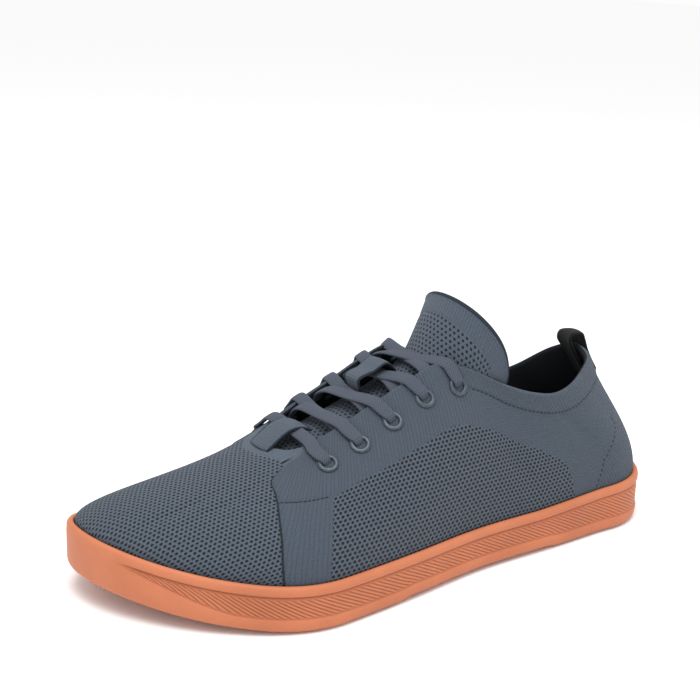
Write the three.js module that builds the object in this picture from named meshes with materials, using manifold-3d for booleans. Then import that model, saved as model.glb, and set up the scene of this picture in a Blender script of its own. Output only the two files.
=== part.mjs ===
// Barefoot shoe for the left foot: a knitted lace-up upper in a cupped rubber sole.
// Millimetres, +X towards the toe, +Y towards the outer side of the foot, +Z up.

import * as THREE from "three";
import { mergeVertices } from "three/addons/utils/BufferGeometryUtils.js";
import Module from "manifold-3d";

const wasm = await Module();
wasm.setup();

// Driving sizes
const LENGTH = 288; // outsole, heel to toe
const BALL = 110; // outsole, across the ball of the foot
const INSTEP = 95; // floor to the top of the lace rows
const HEEL_HEIGHT = 82.5; // floor to the collar at the heel
const GAP = 0.3; // between touching pieces

// Sole sizes
const PLATE = 6; // floor to the footbed of the sole
const SIDE = 20.8; // floor to the top of the lip at mid foot
const HEEL_RISE = 3.6; // how much higher the lip ends at the heel
const TOE_SPRING = 11.2;
const TOE_BREAK = 0.752; // share of the length where the sole's rise to the toe begins
const TOE_BEND = 0.15; // 0 starts that rise level, 1 makes it a straight slope
const ARCH_RISE = 0.8;
const ARCH_SLOPE = 6; // length of the slope at each end of the arch
const CUP_WALL = 3.2; // thickness of the sole's side at its top
const LUG_DEPTH = 1.8;
const RIM_CLEAR = 0.6; // the smooth rim's height over the lug faces
const RIM = 8.5; // from the widest edge to the inner side of the smooth rim
const TUCK = 2; // how far the bottom edge is tucked in
const LIP = 4.2; // height of the smooth lip
const BAND = 6; // height of the smooth lower band
const RIB_DEPTH = 0.9;
const RIB_VALLEY = 0.3; // what is left of the depth between two ribs
const RIB_PITCH = 5.4;
const RIB_SLANT = 11; // how far a rib runs back from top to bottom

// Tread sizes
const DART_PITCH = 14.8;
const DART_COLUMN = 22;
const ZIGZAG_PITCH = 7.4;
const ZIGZAG_SWING = 5;
const ZIGZAG_RIDGE = 3.8;
const ZIGZAG_ROWS = 5;

// Upper sizes
const WALL = 2; // knit and lining together
const COLLAR_STEP = 0.5; // how much thicker the ribbed collar is
const COLLAR_BAND = 9; // width of the ribbed collar
const SEAM_STEP = 0.5; // how far the side panel stands over the toe panel
const SEAM_AT = 0.146; // share round the foot of the outer vamp seam
const SEAM_WIDTH = 0.002; // share round the foot over which the side panel steps up
const INSOLE = 3;

// Lacing sizes
const EYELET_OUTER = 9;
const EYELET_HOLE = 5;
const EYELET_TUBE = 6; // outer diameter of the part in the wall
const EYELET_FLANGE = 1;
const EYELET_ROWS = 5;
const EYELET_INSET = 16.5; // from the throat edge to an eyelet's centre
const LACE_WIDTH = 6;
const LACE_THICK = 1.6;
const LACE_SAG = 2; // how far a strand hangs at its middle
const TONGUE_CLEAR = 3.3; // from the tongue's face to the middle of a lace over it

// Tongue, keepers and loop
const TONGUE_THICK = 2.4;
const TONGUE_FALL = 0.15; // share of its length by which the tongue's top edge falls at the sides
const KEEPER_THICK = 1.2;
const KEEPER_WIDTH = 16;
const KEEPER_OVER = 3.8; // thicknesses of lace that the strap clears
const KEEPER_BACK = 4.1; // its middle lies this far behind the middle of the crossing
const KEEPER_REACH = 7.3; // from the middle of the crossing under it to each end, along the foot
const KEEPER_HALF_ARC = 22; // half the tongue's width, measured round it
const KEEPER_CROSSING = 2; // the crossing it holds, counted from 0 at the toe
const TAB_ROUND = 60; // radius of the tab across the foot
const TAB_WIDTH = 15;
const TAB_LEAD = 9; // how far the vamp tab starts before the bar, along the foot
const TAB_TAIL = 5.5; // how far it runs on behind the bar's middle
const TAB_RISE = 2; // how much higher than over the bar it ends
const LOOP_WIDTH = 14;
const LOOP_THICK = 1.4;
const LOOP_STAND = 8; // how far the loop stands over the collar
const LOOP_FOOT = 13; // how far the loop's ends run down the heel

// A cubic through a table, with each slope weighted from both neighbours.
function smooth(x, xs, ys) {
  const last = xs.length - 1;
  let i = 0;
  while (i < last - 1 && x >= xs[i + 1]) i += 1;
  const slope = (k) => (ys[k + 1] - ys[k]) / (xs[k + 1] - xs[k]);
  const tangent = (k) => {
    if (k === 0) return slope(0);
    if (k === last) return slope(last - 1);
    const before = xs[k] - xs[k - 1];
    const after = xs[k + 1] - xs[k];
    return (slope(k - 1) * after + slope(k) * before) / (before + after);
  };
  const h = xs[i + 1] - xs[i];
  const t = (x - xs[i]) / h;
  const t2 = t * t;
  const t3 = t2 * t;
  const start = (2 * t3 - 3 * t2 + 1) * ys[i] + (t3 - 2 * t2 + t) * h * tangent(i);
  return start + (3 * t2 - 2 * t3) * ys[i + 1] + (t3 - t2) * h * tangent(i + 1);
}

const clamp = THREE.MathUtils.clamp;
const mix = THREE.MathUtils.lerp;

// Sole outline: half width as a share of BALL, at shares of LENGTH from the heel
const OUTLINE = [
  { at: 0.0, half: 0.335 },
  { at: 0.12, half: 0.335 },
  { at: 0.25, half: 0.345 },
  { at: 0.42, half: 0.361 },
  { at: 0.564, half: 0.43 },
  { at: 0.652, half: 0.472 },
  { at: 0.7, half: 0.493 },
  { at: 1.0, half: 0.493 },
];
const OUTLINE_AT = OUTLINE.map((row) => row.at);
const OUTLINE_HALF = OUTLINE.map((row) => row.half);
const TOE_CAP = 0.3; // share of the length that rounds off at the toe
const HEEL_CAP = 0.125;
const TOE_SWING = 0.2; // how far the toe points inwards, as a share of BALL
const BALL_SWING = 0.03; // how far the waist leans outwards

function halfWidth(t) {
  const toe = clamp((t - 1 + TOE_CAP) / TOE_CAP, 0, 1);
  const heel = clamp((HEEL_CAP - t) / HEEL_CAP, 0, 1);
  return smooth(t, OUTLINE_AT, OUTLINE_HALF) * BALL
    * Math.sqrt(1 - toe ** 2) * Math.sqrt(1 - heel ** 2.2);
}

function centreLine(t) {
  const toe = clamp((t - 1 + TOE_CAP) / TOE_CAP, 0, 1);
  const waist = clamp(1 - ((t - 0.5) / 0.35) ** 2, 0, 1);
  return BALL * (BALL_SWING * waist - TOE_SWING * toe ** 1.8);
}

// Closed outline from the toe tip along the outer side to the heel and back,
// with each point's outward direction and its share of the way round.
function traceOutline() {
  const steps = 360;
  const side = (k, sign) => {
    const t = 0.5 + 0.5 * Math.cos((k / steps) * Math.PI);
    return new THREE.Vector2(t * LENGTH, centreLine(t) + sign * halfWidth(t));
  };
  const points = [];
  for (let k = 0; k <= steps; k += 1) points.push(side(k, 1));
  for (let k = steps - 1; k > 0; k -= 1) points.push(side(k, -1));
  const count = points.length;
  const out = points.map((p, k) => {
    const along = points[(k + 1) % count].clone().sub(points[(k + count - 1) % count]);
    return new THREE.Vector2(along.y, -along.x).normalize();
  });
  const shares = [0];
  for (let k = 0; k < count; k += 1) {
    shares.push(shares[k] + points[k].distanceTo(points[(k + 1) % count]));
  }
  const around = shares[count];
  return { points, out, shares: shares.map((s) => s / around), around };
}

const OUTLINE_LOOP = traceOutline();

// Point of the outline at share u of the way round, moved inwards by an inset
function outlineAt(u, inset = 0) {
  const { points, out, shares } = OUTLINE_LOOP;
  const wrapped = u - Math.floor(u);
  let low = 0;
  let high = points.length;
  while (high - low > 1) {
    const middle = Math.floor((low + high) / 2);
    if (shares[middle] <= wrapped) low = middle;
    else high = middle;
  }
  const next = (low + 1) % points.length;
  const t = (wrapped - shares[low]) / (shares[low + 1] - shares[low]);
  const normal = out[low].clone().lerp(out[next], t).normalize();
  const point = points[low].clone().lerp(points[next], t).addScaledVector(normal, -inset);
  return { x: point.x, y: point.y, normal };
}

// Share round the outline of the outer or inner side at a share of the length
function shareAt(t, sign) {
  const k = (Math.acos(2 * t - 1) / Math.PI) * 360;
  const index = sign > 0 ? k : 720 - k;
  const low = Math.floor(index);
  const { shares } = OUTLINE_LOOP;
  return mix(shares[low], shares[Math.min(low + 1, 720)], index - low);
}

// Height of the sole's lowest line: arch and toe spring
function groundAt(x) {
  const t = x / LENGTH;
  const toe = clamp((t - TOE_BREAK) / (1 - TOE_BREAK), 0, 1);
  const arch = clamp(((0.17 - Math.abs(t - 0.42)) * LENGTH) / ARCH_SLOPE, 0, 1);
  return TOE_SPRING * mix(toe ** 2, toe, TOE_BEND) + ARCH_RISE * arch;
}

function lipTopAt(x) {
  const t = x / LENGTH;
  const toe = clamp((t - 0.74) / 0.26, 0, 1);
  return SIDE + TOE_SPRING * toe ** 2 + HEEL_RISE * clamp(1 - t / 0.3, 0, 1);
}

// Mesh helpers
function meshFrom(points, faces) {
  const geometry = new THREE.BufferGeometry();
  geometry.setAttribute("position", new THREE.Float32BufferAttribute(points.flat(), 3));
  geometry.setIndex(faces.flat());
  return geometry;
}

function solidFrom(geometry) {
  const bare = geometry.clone();
  bare.deleteAttribute("normal");
  bare.deleteAttribute("uv");
  const merged = mergeVertices(bare, 1e-4);
  const mesh = new wasm.Mesh({
    numProp: 3,
    vertProperties: new Float32Array(merged.attributes.position.array),
    triVerts: new Uint32Array(merged.index.array),
  });
  return new wasm.Manifold(mesh);
}

function geometryFrom(solid) {
  const mesh = solid.getMesh();
  const geometry = new THREE.BufferGeometry();
  geometry.setAttribute("position", new THREE.BufferAttribute(new Float32Array(mesh.vertProperties), 3));
  geometry.setIndex(new THREE.BufferAttribute(new Uint32Array(mesh.triVerts), 1));
  return geometry;
}

function joinAll(solids) {
  return solids.reduce((sum, solid) => sum.add(solid));
}

// Faces between two rings of equal length
function ringFaces(a, b, count) {
  const faces = [];
  for (let k = 0; k < count; k += 1) {
    const n = (k + 1) % count;
    faces.push([a + k, a + n, b + n], [a + k, b + n, b + k]);
  }
  return faces;
}

// Strips across a ring whose points k and count - k lie opposite each other
function capFaces(start, count, flip) {
  const faces = [];
  const put = (a, b, c) => faces.push(flip ? [a, c, b] : [a, b, c]);
  const half = count / 2;
  for (let k = 0; k < half; k += 1) {
    const a = start + k;
    const b = start + k + 1;
    const c = start + ((count - k - 1) % count);
    const d = start + ((count - k) % count);
    if (k === 0) put(a, b, c);
    else if (k === half - 1) put(a, b, d);
    else {
      put(a, b, c);
      put(a, c, d);
    }
  }
  return faces;
}

// A closed solid through rings of points, capped at both ends
function loftRings(rings) {
  const count = rings[0].length;
  const points = rings.flat();
  const faces = capFaces(0, count, true);
  for (let r = 0; r + 1 < rings.length; r += 1) {
    faces.push(...ringFaces(r * count, (r + 1) * count, count));
  }
  faces.push(...capFaces((rings.length - 1) * count, count, false));
  return meshFrom(points, faces);
}

// A sheet of quads between two grids of points, closed along its rims
function sheetSolid(outer, inner) {
  const rows = outer.length;
  const columns = outer[0].length;
  const points = [...outer.flat(), ...inner.flat()];
  const shift = rows * columns;
  const at = (r, c) => r * columns + c;
  const faces = [];
  const quad = (a, b, c, d) => faces.push([a, b, c], [a, c, d]);
  for (let r = 0; r + 1 < rows; r += 1) {
    for (let c = 0; c + 1 < columns; c += 1) {
      quad(at(r, c), at(r, c + 1), at(r + 1, c + 1), at(r + 1, c));
      quad(shift + at(r, c), shift + at(r + 1, c), shift + at(r + 1, c + 1), shift + at(r, c + 1));
    }
  }
  for (let r = 0; r + 1 < rows; r += 1) {
    quad(at(r, 0), at(r + 1, 0), shift + at(r + 1, 0), shift + at(r, 0));
    quad(at(r, columns - 1), shift + at(r, columns - 1),
      shift + at(r + 1, columns - 1), at(r + 1, columns - 1));
  }
  for (let c = 0; c + 1 < columns; c += 1) {
    quad(at(0, c), shift + at(0, c), shift + at(0, c + 1), at(0, c + 1));
    quad(at(rows - 1, c), at(rows - 1, c + 1), shift + at(rows - 1, c + 1), shift + at(rows - 1, c));
  }
  return meshFrom(points, faces);
}

// Sole
const STEPS = 48; // points round the sole and the upper, the same number on each side

const CROWDING = 0.3; // how much closer the points lie at the toe and heel than at the sides

// Shares round the outline, from the toe along the outer side to the heel and back.
// Points k and STEPS - k lie opposite each other.
function roundShares() {
  const heel = shareAt(0, 1);
  const half = STEPS / 2;
  const shares = [];
  const eased = (t) => t - (CROWDING * Math.sin(2 * Math.PI * t)) / (2 * Math.PI);
  for (let k = 0; k < half; k += 1) shares.push(heel * eased(k / half));
  for (let k = 0; k < half; k += 1) shares.push(heel + (1 - heel) * eased(k / half));
  return shares;
}

// One ring of the sole: inset from the widest edge, height worked out from x
function soleRing(inset, heightAt) {
  return roundShares().map((u) => {
    const point = outlineAt(u, inset);
    const base = outlineAt(u, 0);
    return [point.x, point.y, heightAt(base.x)];
  });
}

// Profile of the side, from the tread up, over the lip and down to the footbed
const SIDE_PROFILE = [
  { inset: RIM, up: LUG_DEPTH, from: "ground" },
  { inset: RIM, up: RIM_CLEAR, from: "ground" },
  { inset: TUCK, up: RIM_CLEAR, from: "ground" },
  { inset: TUCK * 0.28, up: 1.7, from: "ground" },
  { inset: 0, up: BAND - 1.2, from: "ground" },
  { inset: 0, up: BAND, from: "ground" },
  { inset: RIB_DEPTH, up: BAND + 0.3, from: "ground" },
  { inset: RIB_DEPTH, up: -LIP - 0.9, from: "lip" },
  { inset: RIB_DEPTH + 0.6, up: -LIP - 0.6, from: "lip" },
  { inset: RIB_DEPTH + 0.6, up: -LIP - 0.2, from: "lip" },
  { inset: 0.3, up: -LIP + 0.2, from: "lip" },
  { inset: 0.6, up: -1.2, from: "lip" },
  { inset: 1.5, up: 0, from: "lip" },
  { inset: CUP_WALL, up: 0, from: "lip" },
  { inset: CUP_WALL, up: PLATE, from: "ground" },
];

function soleBody() {
  const rings = SIDE_PROFILE.map((row) => {
    const base = row.from === "lip" ? lipTopAt : groundAt;
    return soleRing(row.inset, (x) => base(x) + row.up);
  });
  return loftRings(rings);
}

// How tall the ribs stand: they die away at the toe and round the heel
function ribFade(x) {
  const toe = clamp((0.93 * LENGTH - x) / (0.1 * LENGTH), 0, 1);
  const heel = clamp((x - 0.012 * LENGTH) / (0.04 * LENGTH), 0, 1);
  return Math.min(toe, heel);
}

// One side's ribs: a thin band whose outer face goes up and down along the shoe
function ribBand(sign) {
  const start = shareAt(0.94, sign);
  const end = shareAt(0.006, sign);
  const teeth = Math.floor((Math.abs(end - start) * OUTLINE_LOOP.around - RIB_SLANT) / RIB_PITCH);
  const columns = teeth * 2 + 1;
  const levels = [0, 1];
  const outer = [];
  const inner = [];
  for (const level of levels) {
    const outerRow = [];
    const innerRow = [];
    for (let c = 0; c < columns; c += 1) {
      const along = (c * RIB_PITCH) / 2 + RIB_SLANT * (1 - level);
      const u = start + (sign * along) / OUTLINE_LOOP.around;
      const base = outlineAt(u);
      const fade = ribFade(base.x);
      const crest = c % 2 ? mix(RIB_VALLEY, RIB_DEPTH, fade) : RIB_VALLEY;
      const low = groundAt(base.x) + BAND + 0.15;
      const high = lipTopAt(base.x) - LIP - 1;
      const z = mix(low, mix(low, high, 0.25 + 0.75 * fade), level) + (level === 0 ? 0 : 0.01);
      const face = outlineAt(u, RIB_DEPTH - crest);
      const root = outlineAt(u, RIB_DEPTH + 0.8);
      outerRow.push([face.x, face.y, z]);
      innerRow.push([root.x, root.y, z]);
    }
    outer.push(sign > 0 ? outerRow : outerRow.reverse());
    inner.push(sign > 0 ? innerRow : innerRow.reverse());
  }
  return sheetSolid(outer, inner);
}

const LUG_ROOT = (LUG_DEPTH + PLATE) / 2; // the lugs' solids reach up to the plate's middle

// A flat figure pushed up from the ground line into the plate
function lugFrom(corners) {
  const count = corners.length;
  const contour = corners.map(([x, y]) => new THREE.Vector2(x, y));
  if (THREE.ShapeUtils.isClockWise(contour)) contour.reverse();
  const triangles = THREE.ShapeUtils.triangulateShape(contour, []);
  const low = contour.map((p) => [p.x, p.y, groundAt(p.x)]);
  const high = contour.map((p) => [p.x, p.y, groundAt(p.x) + LUG_ROOT]);
  const faces = [];
  for (const [a, b, c] of triangles) {
    faces.push([c, b, a], [a + count, b + count, c + count]);
  }
  faces.push(...ringFaces(0, count, count));
  return meshFrom([...low, ...high], faces);
}

// Arrowhead with its tip towards the heel (turn = 1) or the toe (turn = -1)
const DART = [
  { along: 0, across: 0 },
  { along: 1.08, across: 0.39 },
  { along: 0.78, across: 0 },
  { along: 1.08, across: -0.39 },
];

function dartAt(x, y, turn) {
  return DART.map((p) => [x + turn * p.along * DART_PITCH, y + p.across * DART_COLUMN]);
}

// Zigzag ridge across the sole
function zigzagAt(x) {
  const front = [];
  const back = [];
  const steps = Math.ceil(BALL / DART_COLUMN) + 1;
  for (let k = -steps; k <= steps; k += 1) {
    const swing = (k % 2 ? 0.5 : -0.5) * ZIGZAG_SWING;
    const y = (k * DART_COLUMN) / 2;
    front.push([x + swing + ZIGZAG_RIDGE / 2, y]);
    back.push([x + swing - ZIGZAG_RIDGE / 2, y]);
  }
  return [...front, ...back.reverse()];
}

const TREAD_EDGE = RIM - GAP; // lugs end this far from the widest edge, at the rim

// True where a point lies inside the tread's outline
function inTread(x, y, clear = 0) {
  const t = x / LENGTH;
  if (t <= 0 || t >= 1) return false;
  const slack = halfWidth(t) - TREAD_EDGE - clear - Math.abs(y - centreLine(t));
  return slack > 0 && x > TREAD_EDGE + clear && x < LENGTH - TREAD_EDGE - clear;
}

function treadSolids() {
  const footprint = solidFrom(loftRings([
    soleRing(TREAD_EDGE, () => -PLATE),
    soleRing(TREAD_EDGE, () => SIDE + TOE_SPRING),
  ]));
  const lugs = [];
  const heelEnd = RIM + (ZIGZAG_ROWS - 0.5) * ZIGZAG_PITCH;
  const toeStart = LENGTH - RIM - (ZIGZAG_ROWS - 0.5) * ZIGZAG_PITCH;
  for (let r = 0; r < ZIGZAG_ROWS; r += 1) {
    lugs.push(zigzagAt(RIM + (r + 0.35) * ZIGZAG_PITCH));
    lugs.push(zigzagAt(LENGTH - RIM - (r + 0.35) * ZIGZAG_PITCH));
  }
  const rows = Math.floor((toeStart - heelEnd) / DART_PITCH);
  const first = heelEnd + (toeStart - heelEnd - rows * DART_PITCH) / 2;
  for (let r = 0; r < rows; r += 1) {
    for (let c = -3; c <= 3; c += 1) {
      const x = first + r * DART_PITCH;
      const y = c * DART_COLUMN;
      if (inTread(x + DART_PITCH / 2, y)) lugs.push(dartAt(x, y, 1));
      const across = y + DART_COLUMN / 2;
      if (inTread(x + DART_PITCH * 0.6, across)) lugs.push(dartAt(x + DART_PITCH * 1.14, across, -1));
    }
  }
  const solids = lugs.map((corners) => solidFrom(lugFrom(corners)));
  return joinAll(solids).intersect(footprint);
}

function outsole() {
  const body = solidFrom(soleBody());
  const ribs = solidFrom(ribBand(1)).add(solidFrom(ribBand(-1)));
  return geometryFrom(body.add(ribs).add(treadSolids()));
}

// Upper: each row is a section from the sole's cup up to the edge of the opening.
// edgeX is a share of LENGTH, edgeY of BALL, and edgeZ of INSTEP.
// rise and reach shape the section, lean is its fullness, and drop its slope at the edge.
const SECTIONS = [
  { at: 0.0, edgeX: 0.722, edgeY: -0.064, edgeZ: 0.632, rise: 0.32, lean: 0.005, reach: 0.6, drop: 0.15 },
  { at: 0.055, edgeX: 0.715, edgeY: 0.018, edgeZ: 0.637, rise: 0.36, lean: 0.009, reach: 0.58, drop: 0.13 },
  { at: 0.105, edgeX: 0.698, edgeY: 0.082, edgeZ: 0.645, rise: 0.38, lean: 0.014, reach: 0.5, drop: 0.13 },
  { at: 0.15, edgeX: 0.663, edgeY: 0.114, edgeZ: 0.68, rise: 0.4, lean: 0.018, reach: 0.42, drop: 0.12 },
  { at: 0.19, edgeX: 0.615, edgeY: 0.127, edgeZ: 0.745, rise: 0.42, lean: 0.018, reach: 0.38, drop: 0.11 },
  { at: 0.228, edgeX: 0.559, edgeY: 0.132, edgeZ: 0.825, rise: 0.45, lean: 0.018, reach: 0.38, drop: 0.1 },
  { at: 0.262, edgeX: 0.507, edgeY: 0.141, edgeZ: 0.9, rise: 0.47, lean: 0.018, reach: 0.4, drop: 0.085 },
  { at: 0.295, edgeX: 0.458, edgeY: 0.159, edgeZ: 0.963, rise: 0.48, lean: 0.014, reach: 0.4, drop: 0.08 },
  { at: 0.325, edgeX: 0.41, edgeY: 0.209, edgeZ: 0.932, rise: 0.45, lean: 0.009, reach: 0.35, drop: 0.105 },
  { at: 0.355, edgeX: 0.358, edgeY: 0.255, edgeZ: 0.853, rise: 0.4, lean: 0.005, reach: 0.3, drop: 0.147 },
  { at: 0.39, edgeX: 0.299, edgeY: 0.282, edgeZ: 0.789, rise: 0.38, lean: 0.005, reach: 0.3, drop: 0.168 },
  { at: 0.425, edgeX: 0.243, edgeY: 0.277, edgeZ: 0.768, rise: 0.38, lean: 0.005, reach: 0.3, drop: 0.179 },
  { at: 0.46, edgeX: 0.181, edgeY: 0.218, edgeZ: 0.811, rise: 0.35, lean: 0.009, reach: 0.3, drop: 0.189 },
  { at: 0.485, edgeX: 0.128, edgeY: 0.109, edgeZ: 0.858, rise: 0.33, lean: 0.009, reach: 0.3, drop: 0.21 },
  { at: 0.503, edgeX: 0.108, edgeY: -0.027, edgeZ: HEEL_HEIGHT / INSTEP, rise: 0.33, lean: 0.009, reach: 0.3, drop: 0.21 },
  { at: 0.525, edgeX: 0.122, edgeY: -0.141, edgeZ: 0.821, rise: 0.33, lean: 0.009, reach: 0.3, drop: 0.21 },
  { at: 0.55, edgeX: 0.167, edgeY: -0.245, edgeZ: 0.711, rise: 0.35, lean: 0.009, reach: 0.3, drop: 0.168 },
  { at: 0.585, edgeX: 0.229, edgeY: -0.282, edgeZ: 0.674, rise: 0.38, lean: 0.005, reach: 0.3, drop: 0.147 },
  { at: 0.62, edgeX: 0.288, edgeY: -0.295, edgeZ: 0.705, rise: 0.38, lean: 0.005, reach: 0.3, drop: 0.147 },
  { at: 0.655, edgeX: 0.347, edgeY: -0.291, edgeZ: 0.789, rise: 0.4, lean: 0.005, reach: 0.3, drop: 0.137 },
  { at: 0.688, edgeX: 0.403, edgeY: -0.264, edgeZ: 0.889, rise: 0.45, lean: 0.009, reach: 0.35, drop: 0.105 },
  { at: 0.718, edgeX: 0.448, edgeY: -0.227, edgeZ: 0.947, rise: 0.5, lean: 0.012, reach: 0.4, drop: 0.063 },
  { at: 0.75, edgeX: 0.5, edgeY: -0.209, edgeZ: 0.911, rise: 0.48, lean: 0.012, reach: 0.42, drop: 0.063 },
  { at: 0.785, edgeX: 0.556, edgeY: -0.2, edgeZ: 0.837, rise: 0.45, lean: 0.012, reach: 0.42, drop: 0.1 },
  { at: 0.825, edgeX: 0.615, edgeY: -0.191, edgeZ: 0.763, rise: 0.36, lean: 0.012, reach: 0.42, drop: 0.13 },
  { at: 0.87, edgeX: 0.663, edgeY: -0.177, edgeZ: 0.7, rise: 0.3, lean: 0.012, reach: 0.42, drop: 0.17 },
  { at: 0.915, edgeX: 0.698, edgeY: -0.159, edgeZ: 0.658, rise: 0.28, lean: 0.009, reach: 0.46, drop: 0.19 },
  { at: 0.958, edgeX: 0.715, edgeY: -0.118, edgeZ: 0.637, rise: 0.28, lean: 0.005, reach: 0.52, drop: 0.18 },
];
const WRAPPED = [
  ...SECTIONS.slice(-3).map((row) => ({ ...row, at: row.at - 1 })),
  ...SECTIONS,
  ...SECTIONS.slice(0, 3).map((row) => ({ ...row, at: row.at + 1 })),
];
const SECTION_AT = WRAPPED.map((row) => row.at);
const SECTION_COLUMNS = Object.fromEntries(
  Object.keys(SECTIONS[0]).map((name) => [name, WRAPPED.map((row) => row[name])]),
);

function sectionValue(u, name) {
  return smooth(u - Math.floor(u), SECTION_AT, SECTION_COLUMNS[name]);
}

const UPPER_INSET = CUP_WALL + GAP;
const UPPER_FOOT = PLATE + GAP;

// Outer face of the upper: u goes round the foot, s from the lip (0) to the opening (1).
// Below 0 the face goes straight down inside the sole's cup.
function upperAt(u, s) {
  const base = outlineAt(u, UPPER_INSET);
  const ground = outlineAt(u).x;
  const footZ = lipTopAt(ground) - 1;
  const foot = new THREE.Vector3(base.x, base.y, footZ);
  if (s < 0) {
    foot.z = mix(footZ, groundAt(ground) + UPPER_FOOT, -s);
    return foot;
  }
  const edge = new THREE.Vector3(
    sectionValue(u, "edgeX") * LENGTH,
    sectionValue(u, "edgeY") * BALL,
    sectionValue(u, "edgeZ") * INSTEP,
  );
  const lean = sectionValue(u, "lean") * BALL;
  const rise = sectionValue(u, "rise") * (edge.z - footZ);
  const reach = sectionValue(u, "reach");
  const first = new THREE.Vector3(
    foot.x + base.normal.x * lean,
    foot.y + base.normal.y * lean,
    foot.z + rise,
  );
  const second = new THREE.Vector3(
    mix(edge.x, foot.x, reach),
    mix(edge.y, foot.y, reach),
    edge.z - sectionValue(u, "drop") * INSTEP,
  );
  return new THREE.CubicBezierCurve3(foot, first, second, edge).getPoint(s);
}

function upperNormal(u, s) {
  const step = 0.002;
  if (s < 0) {
    const { normal } = outlineAt(u);
    return new THREE.Vector3(normal.x, normal.y, 0);
  }
  const along = upperAt(u + step, s).sub(upperAt(u - step, s));
  const up = upperAt(u, Math.min(s + step, 1)).sub(upperAt(u, Math.max(s - step, 0)));
  return along.cross(up).normalize();
}

// Length of a section from the lip to the opening
function sectionLength(u) {
  let length = 0;
  const steps = 16;
  for (let k = 0; k < steps; k += 1) {
    length += upperAt(u, k / steps).distanceTo(upperAt(u, (k + 1) / steps));
  }
  return length;
}

// The vamp seams lie at the stations nearest to SEAM_AT on both sides
const SEAMS = [SEAM_AT, 1 - SEAM_AT].map((seam) => {
  const off = (u) => Math.abs(u - seam);
  return roundShares().reduce((best, u) => (off(u) < off(best) ? u : best));
});

// Raised by the collar band and by the side panel behind the vamp seam
function upperStep(u, s, collarStart) {
  const collar = s >= collarStart ? COLLAR_STEP : 0;
  const side = u > SEAMS[0] && u < SEAMS[1] && s >= 0 ? SEAM_STEP : 0;
  return collar + side;
}

const FACET_EASE = 0.7; // how far the lining's flat facets stand in from its curve at the heel

// The shares round the foot, with a close pair at each vamp seam
function upperShares() {
  const pair = (u) => [u - SEAM_WIDTH / 2, u + SEAM_WIDTH / 2];
  return roundShares().flatMap((u) => (SEAMS.includes(u) ? pair(u) : [u]));
}

function upperBody() {
  const shares = upperShares();
  const outer = [];
  const inner = [];
  const open = [0.14, 0.3, 0.46, 0.63];
  for (const u of shares) {
    const start = 1 - COLLAR_BAND / sectionLength(u);
    const levels = [-1, -0.05, ...open.map((k) => (k / 0.8) * start), start, start + 0.004];
    levels.push(mix(start, 1, 0.5), 1);
    const outerRow = [];
    const innerRow = [];
    levels.forEach((s, k) => {
      const normal = upperNormal(u, s);
      const face = upperAt(u, s);
      const raised = face.clone().addScaledVector(normal, upperStep(u, s, start + 0.002));
      if (k < 2) raised.copy(face);
      const lining = face.clone().addScaledVector(normal, -WALL);
      outerRow.push(raised.toArray());
      innerRow.push(lining.toArray());
    });
    outer.push(outerRow);
    inner.push(innerRow);
  }
  return bandSolid(outer, inner);
}

// A band that closes on itself, between an outer and an inner grid
function bandSolid(outer, inner) {
  const columns = outer.length;
  const levels = outer[0].length;
  const points = [...outer.flat(), ...inner.flat()];
  const shift = columns * levels;
  const at = (c, l) => (c % columns) * levels + l;
  const faces = [];
  const quad = (a, b, c, d) => faces.push([a, b, c], [a, c, d]);
  for (let c = 0; c < columns; c += 1) {
    for (let l = 0; l + 1 < levels; l += 1) {
      quad(at(c, l), at(c + 1, l), at(c + 1, l + 1), at(c, l + 1));
      quad(shift + at(c, l), shift + at(c, l + 1), shift + at(c + 1, l + 1), shift + at(c + 1, l));
    }
    quad(at(c, 0), shift + at(c, 0), shift + at(c + 1, 0), at(c + 1, 0));
    const top = levels - 1;
    quad(at(c, top), at(c + 1, top), shift + at(c + 1, top), shift + at(c, top));
  }
  return meshFrom(points, faces);
}

// Eyelets: shares round the foot of the first and last section that carries one
const EYELET_SPAN = {
  lateral: { first: 0.17, last: 0.305 },
  medial: { first: 0.854, last: 0.719 },
};

// Centre and outward direction of an eyelet on the upper's face
function eyeletSeat(side, row) {
  const span = EYELET_SPAN[side];
  const u = mix(span.first, span.last, row / (EYELET_ROWS - 1));
  const s = 1 - EYELET_INSET / sectionLength(u);
  const spread = EYELET_OUTER / 2 / sectionLength(u);
  const shift = EYELET_OUTER / 2 / OUTLINE_LOOP.around;
  const along = upperAt(u + shift, s).sub(upperAt(u - shift, s));
  const up = upperAt(u, s + spread).sub(upperAt(u, s - spread));
  const normal = along.cross(up).normalize();
  const point = upperAt(u, s).addScaledVector(normal, upperStep(u, s, 1));
  return { point, normal, u, s };
}

function turnTo(geometry, point, normal) {
  const turn = new THREE.Quaternion().setFromUnitVectors(new THREE.Vector3(0, 0, 1), normal);
  return geometry.clone().applyQuaternion(turn).translate(point.x, point.y, point.z);
}

const EYELET_SEGMENTS = 8;
const FLANGE_EASE = 0.5; // the flat flange stands this much off the curved wall

// Ring with a flange outside and a tube through the wall
function eyeletGeometry() {
  const hole = EYELET_HOLE / 2;
  const tube = EYELET_TUBE / 2;
  const flange = EYELET_OUTER / 2;
  const lift = GAP + FLANGE_EASE;
  const profile = [
    [hole, -WALL - 0.4],
    [tube, -WALL - 0.4],
    [tube, lift],
    [flange, lift],
    [flange - 0.9, lift + EYELET_FLANGE],
    [hole + 0.3, lift + EYELET_FLANGE],
    [hole, -WALL - 0.4],
  ].map(([x, y]) => new THREE.Vector2(x, y));
  const ring = new THREE.LatheGeometry(profile, EYELET_SEGMENTS);
  return ring.rotateX(Math.PI / 2);
}

function holeCutter() {
  const radius = EYELET_TUBE / 2 + GAP;
  return new THREE.CylinderGeometry(radius, radius, WALL * 4, EYELET_SEGMENTS).rotateX(Math.PI / 2);
}

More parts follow.
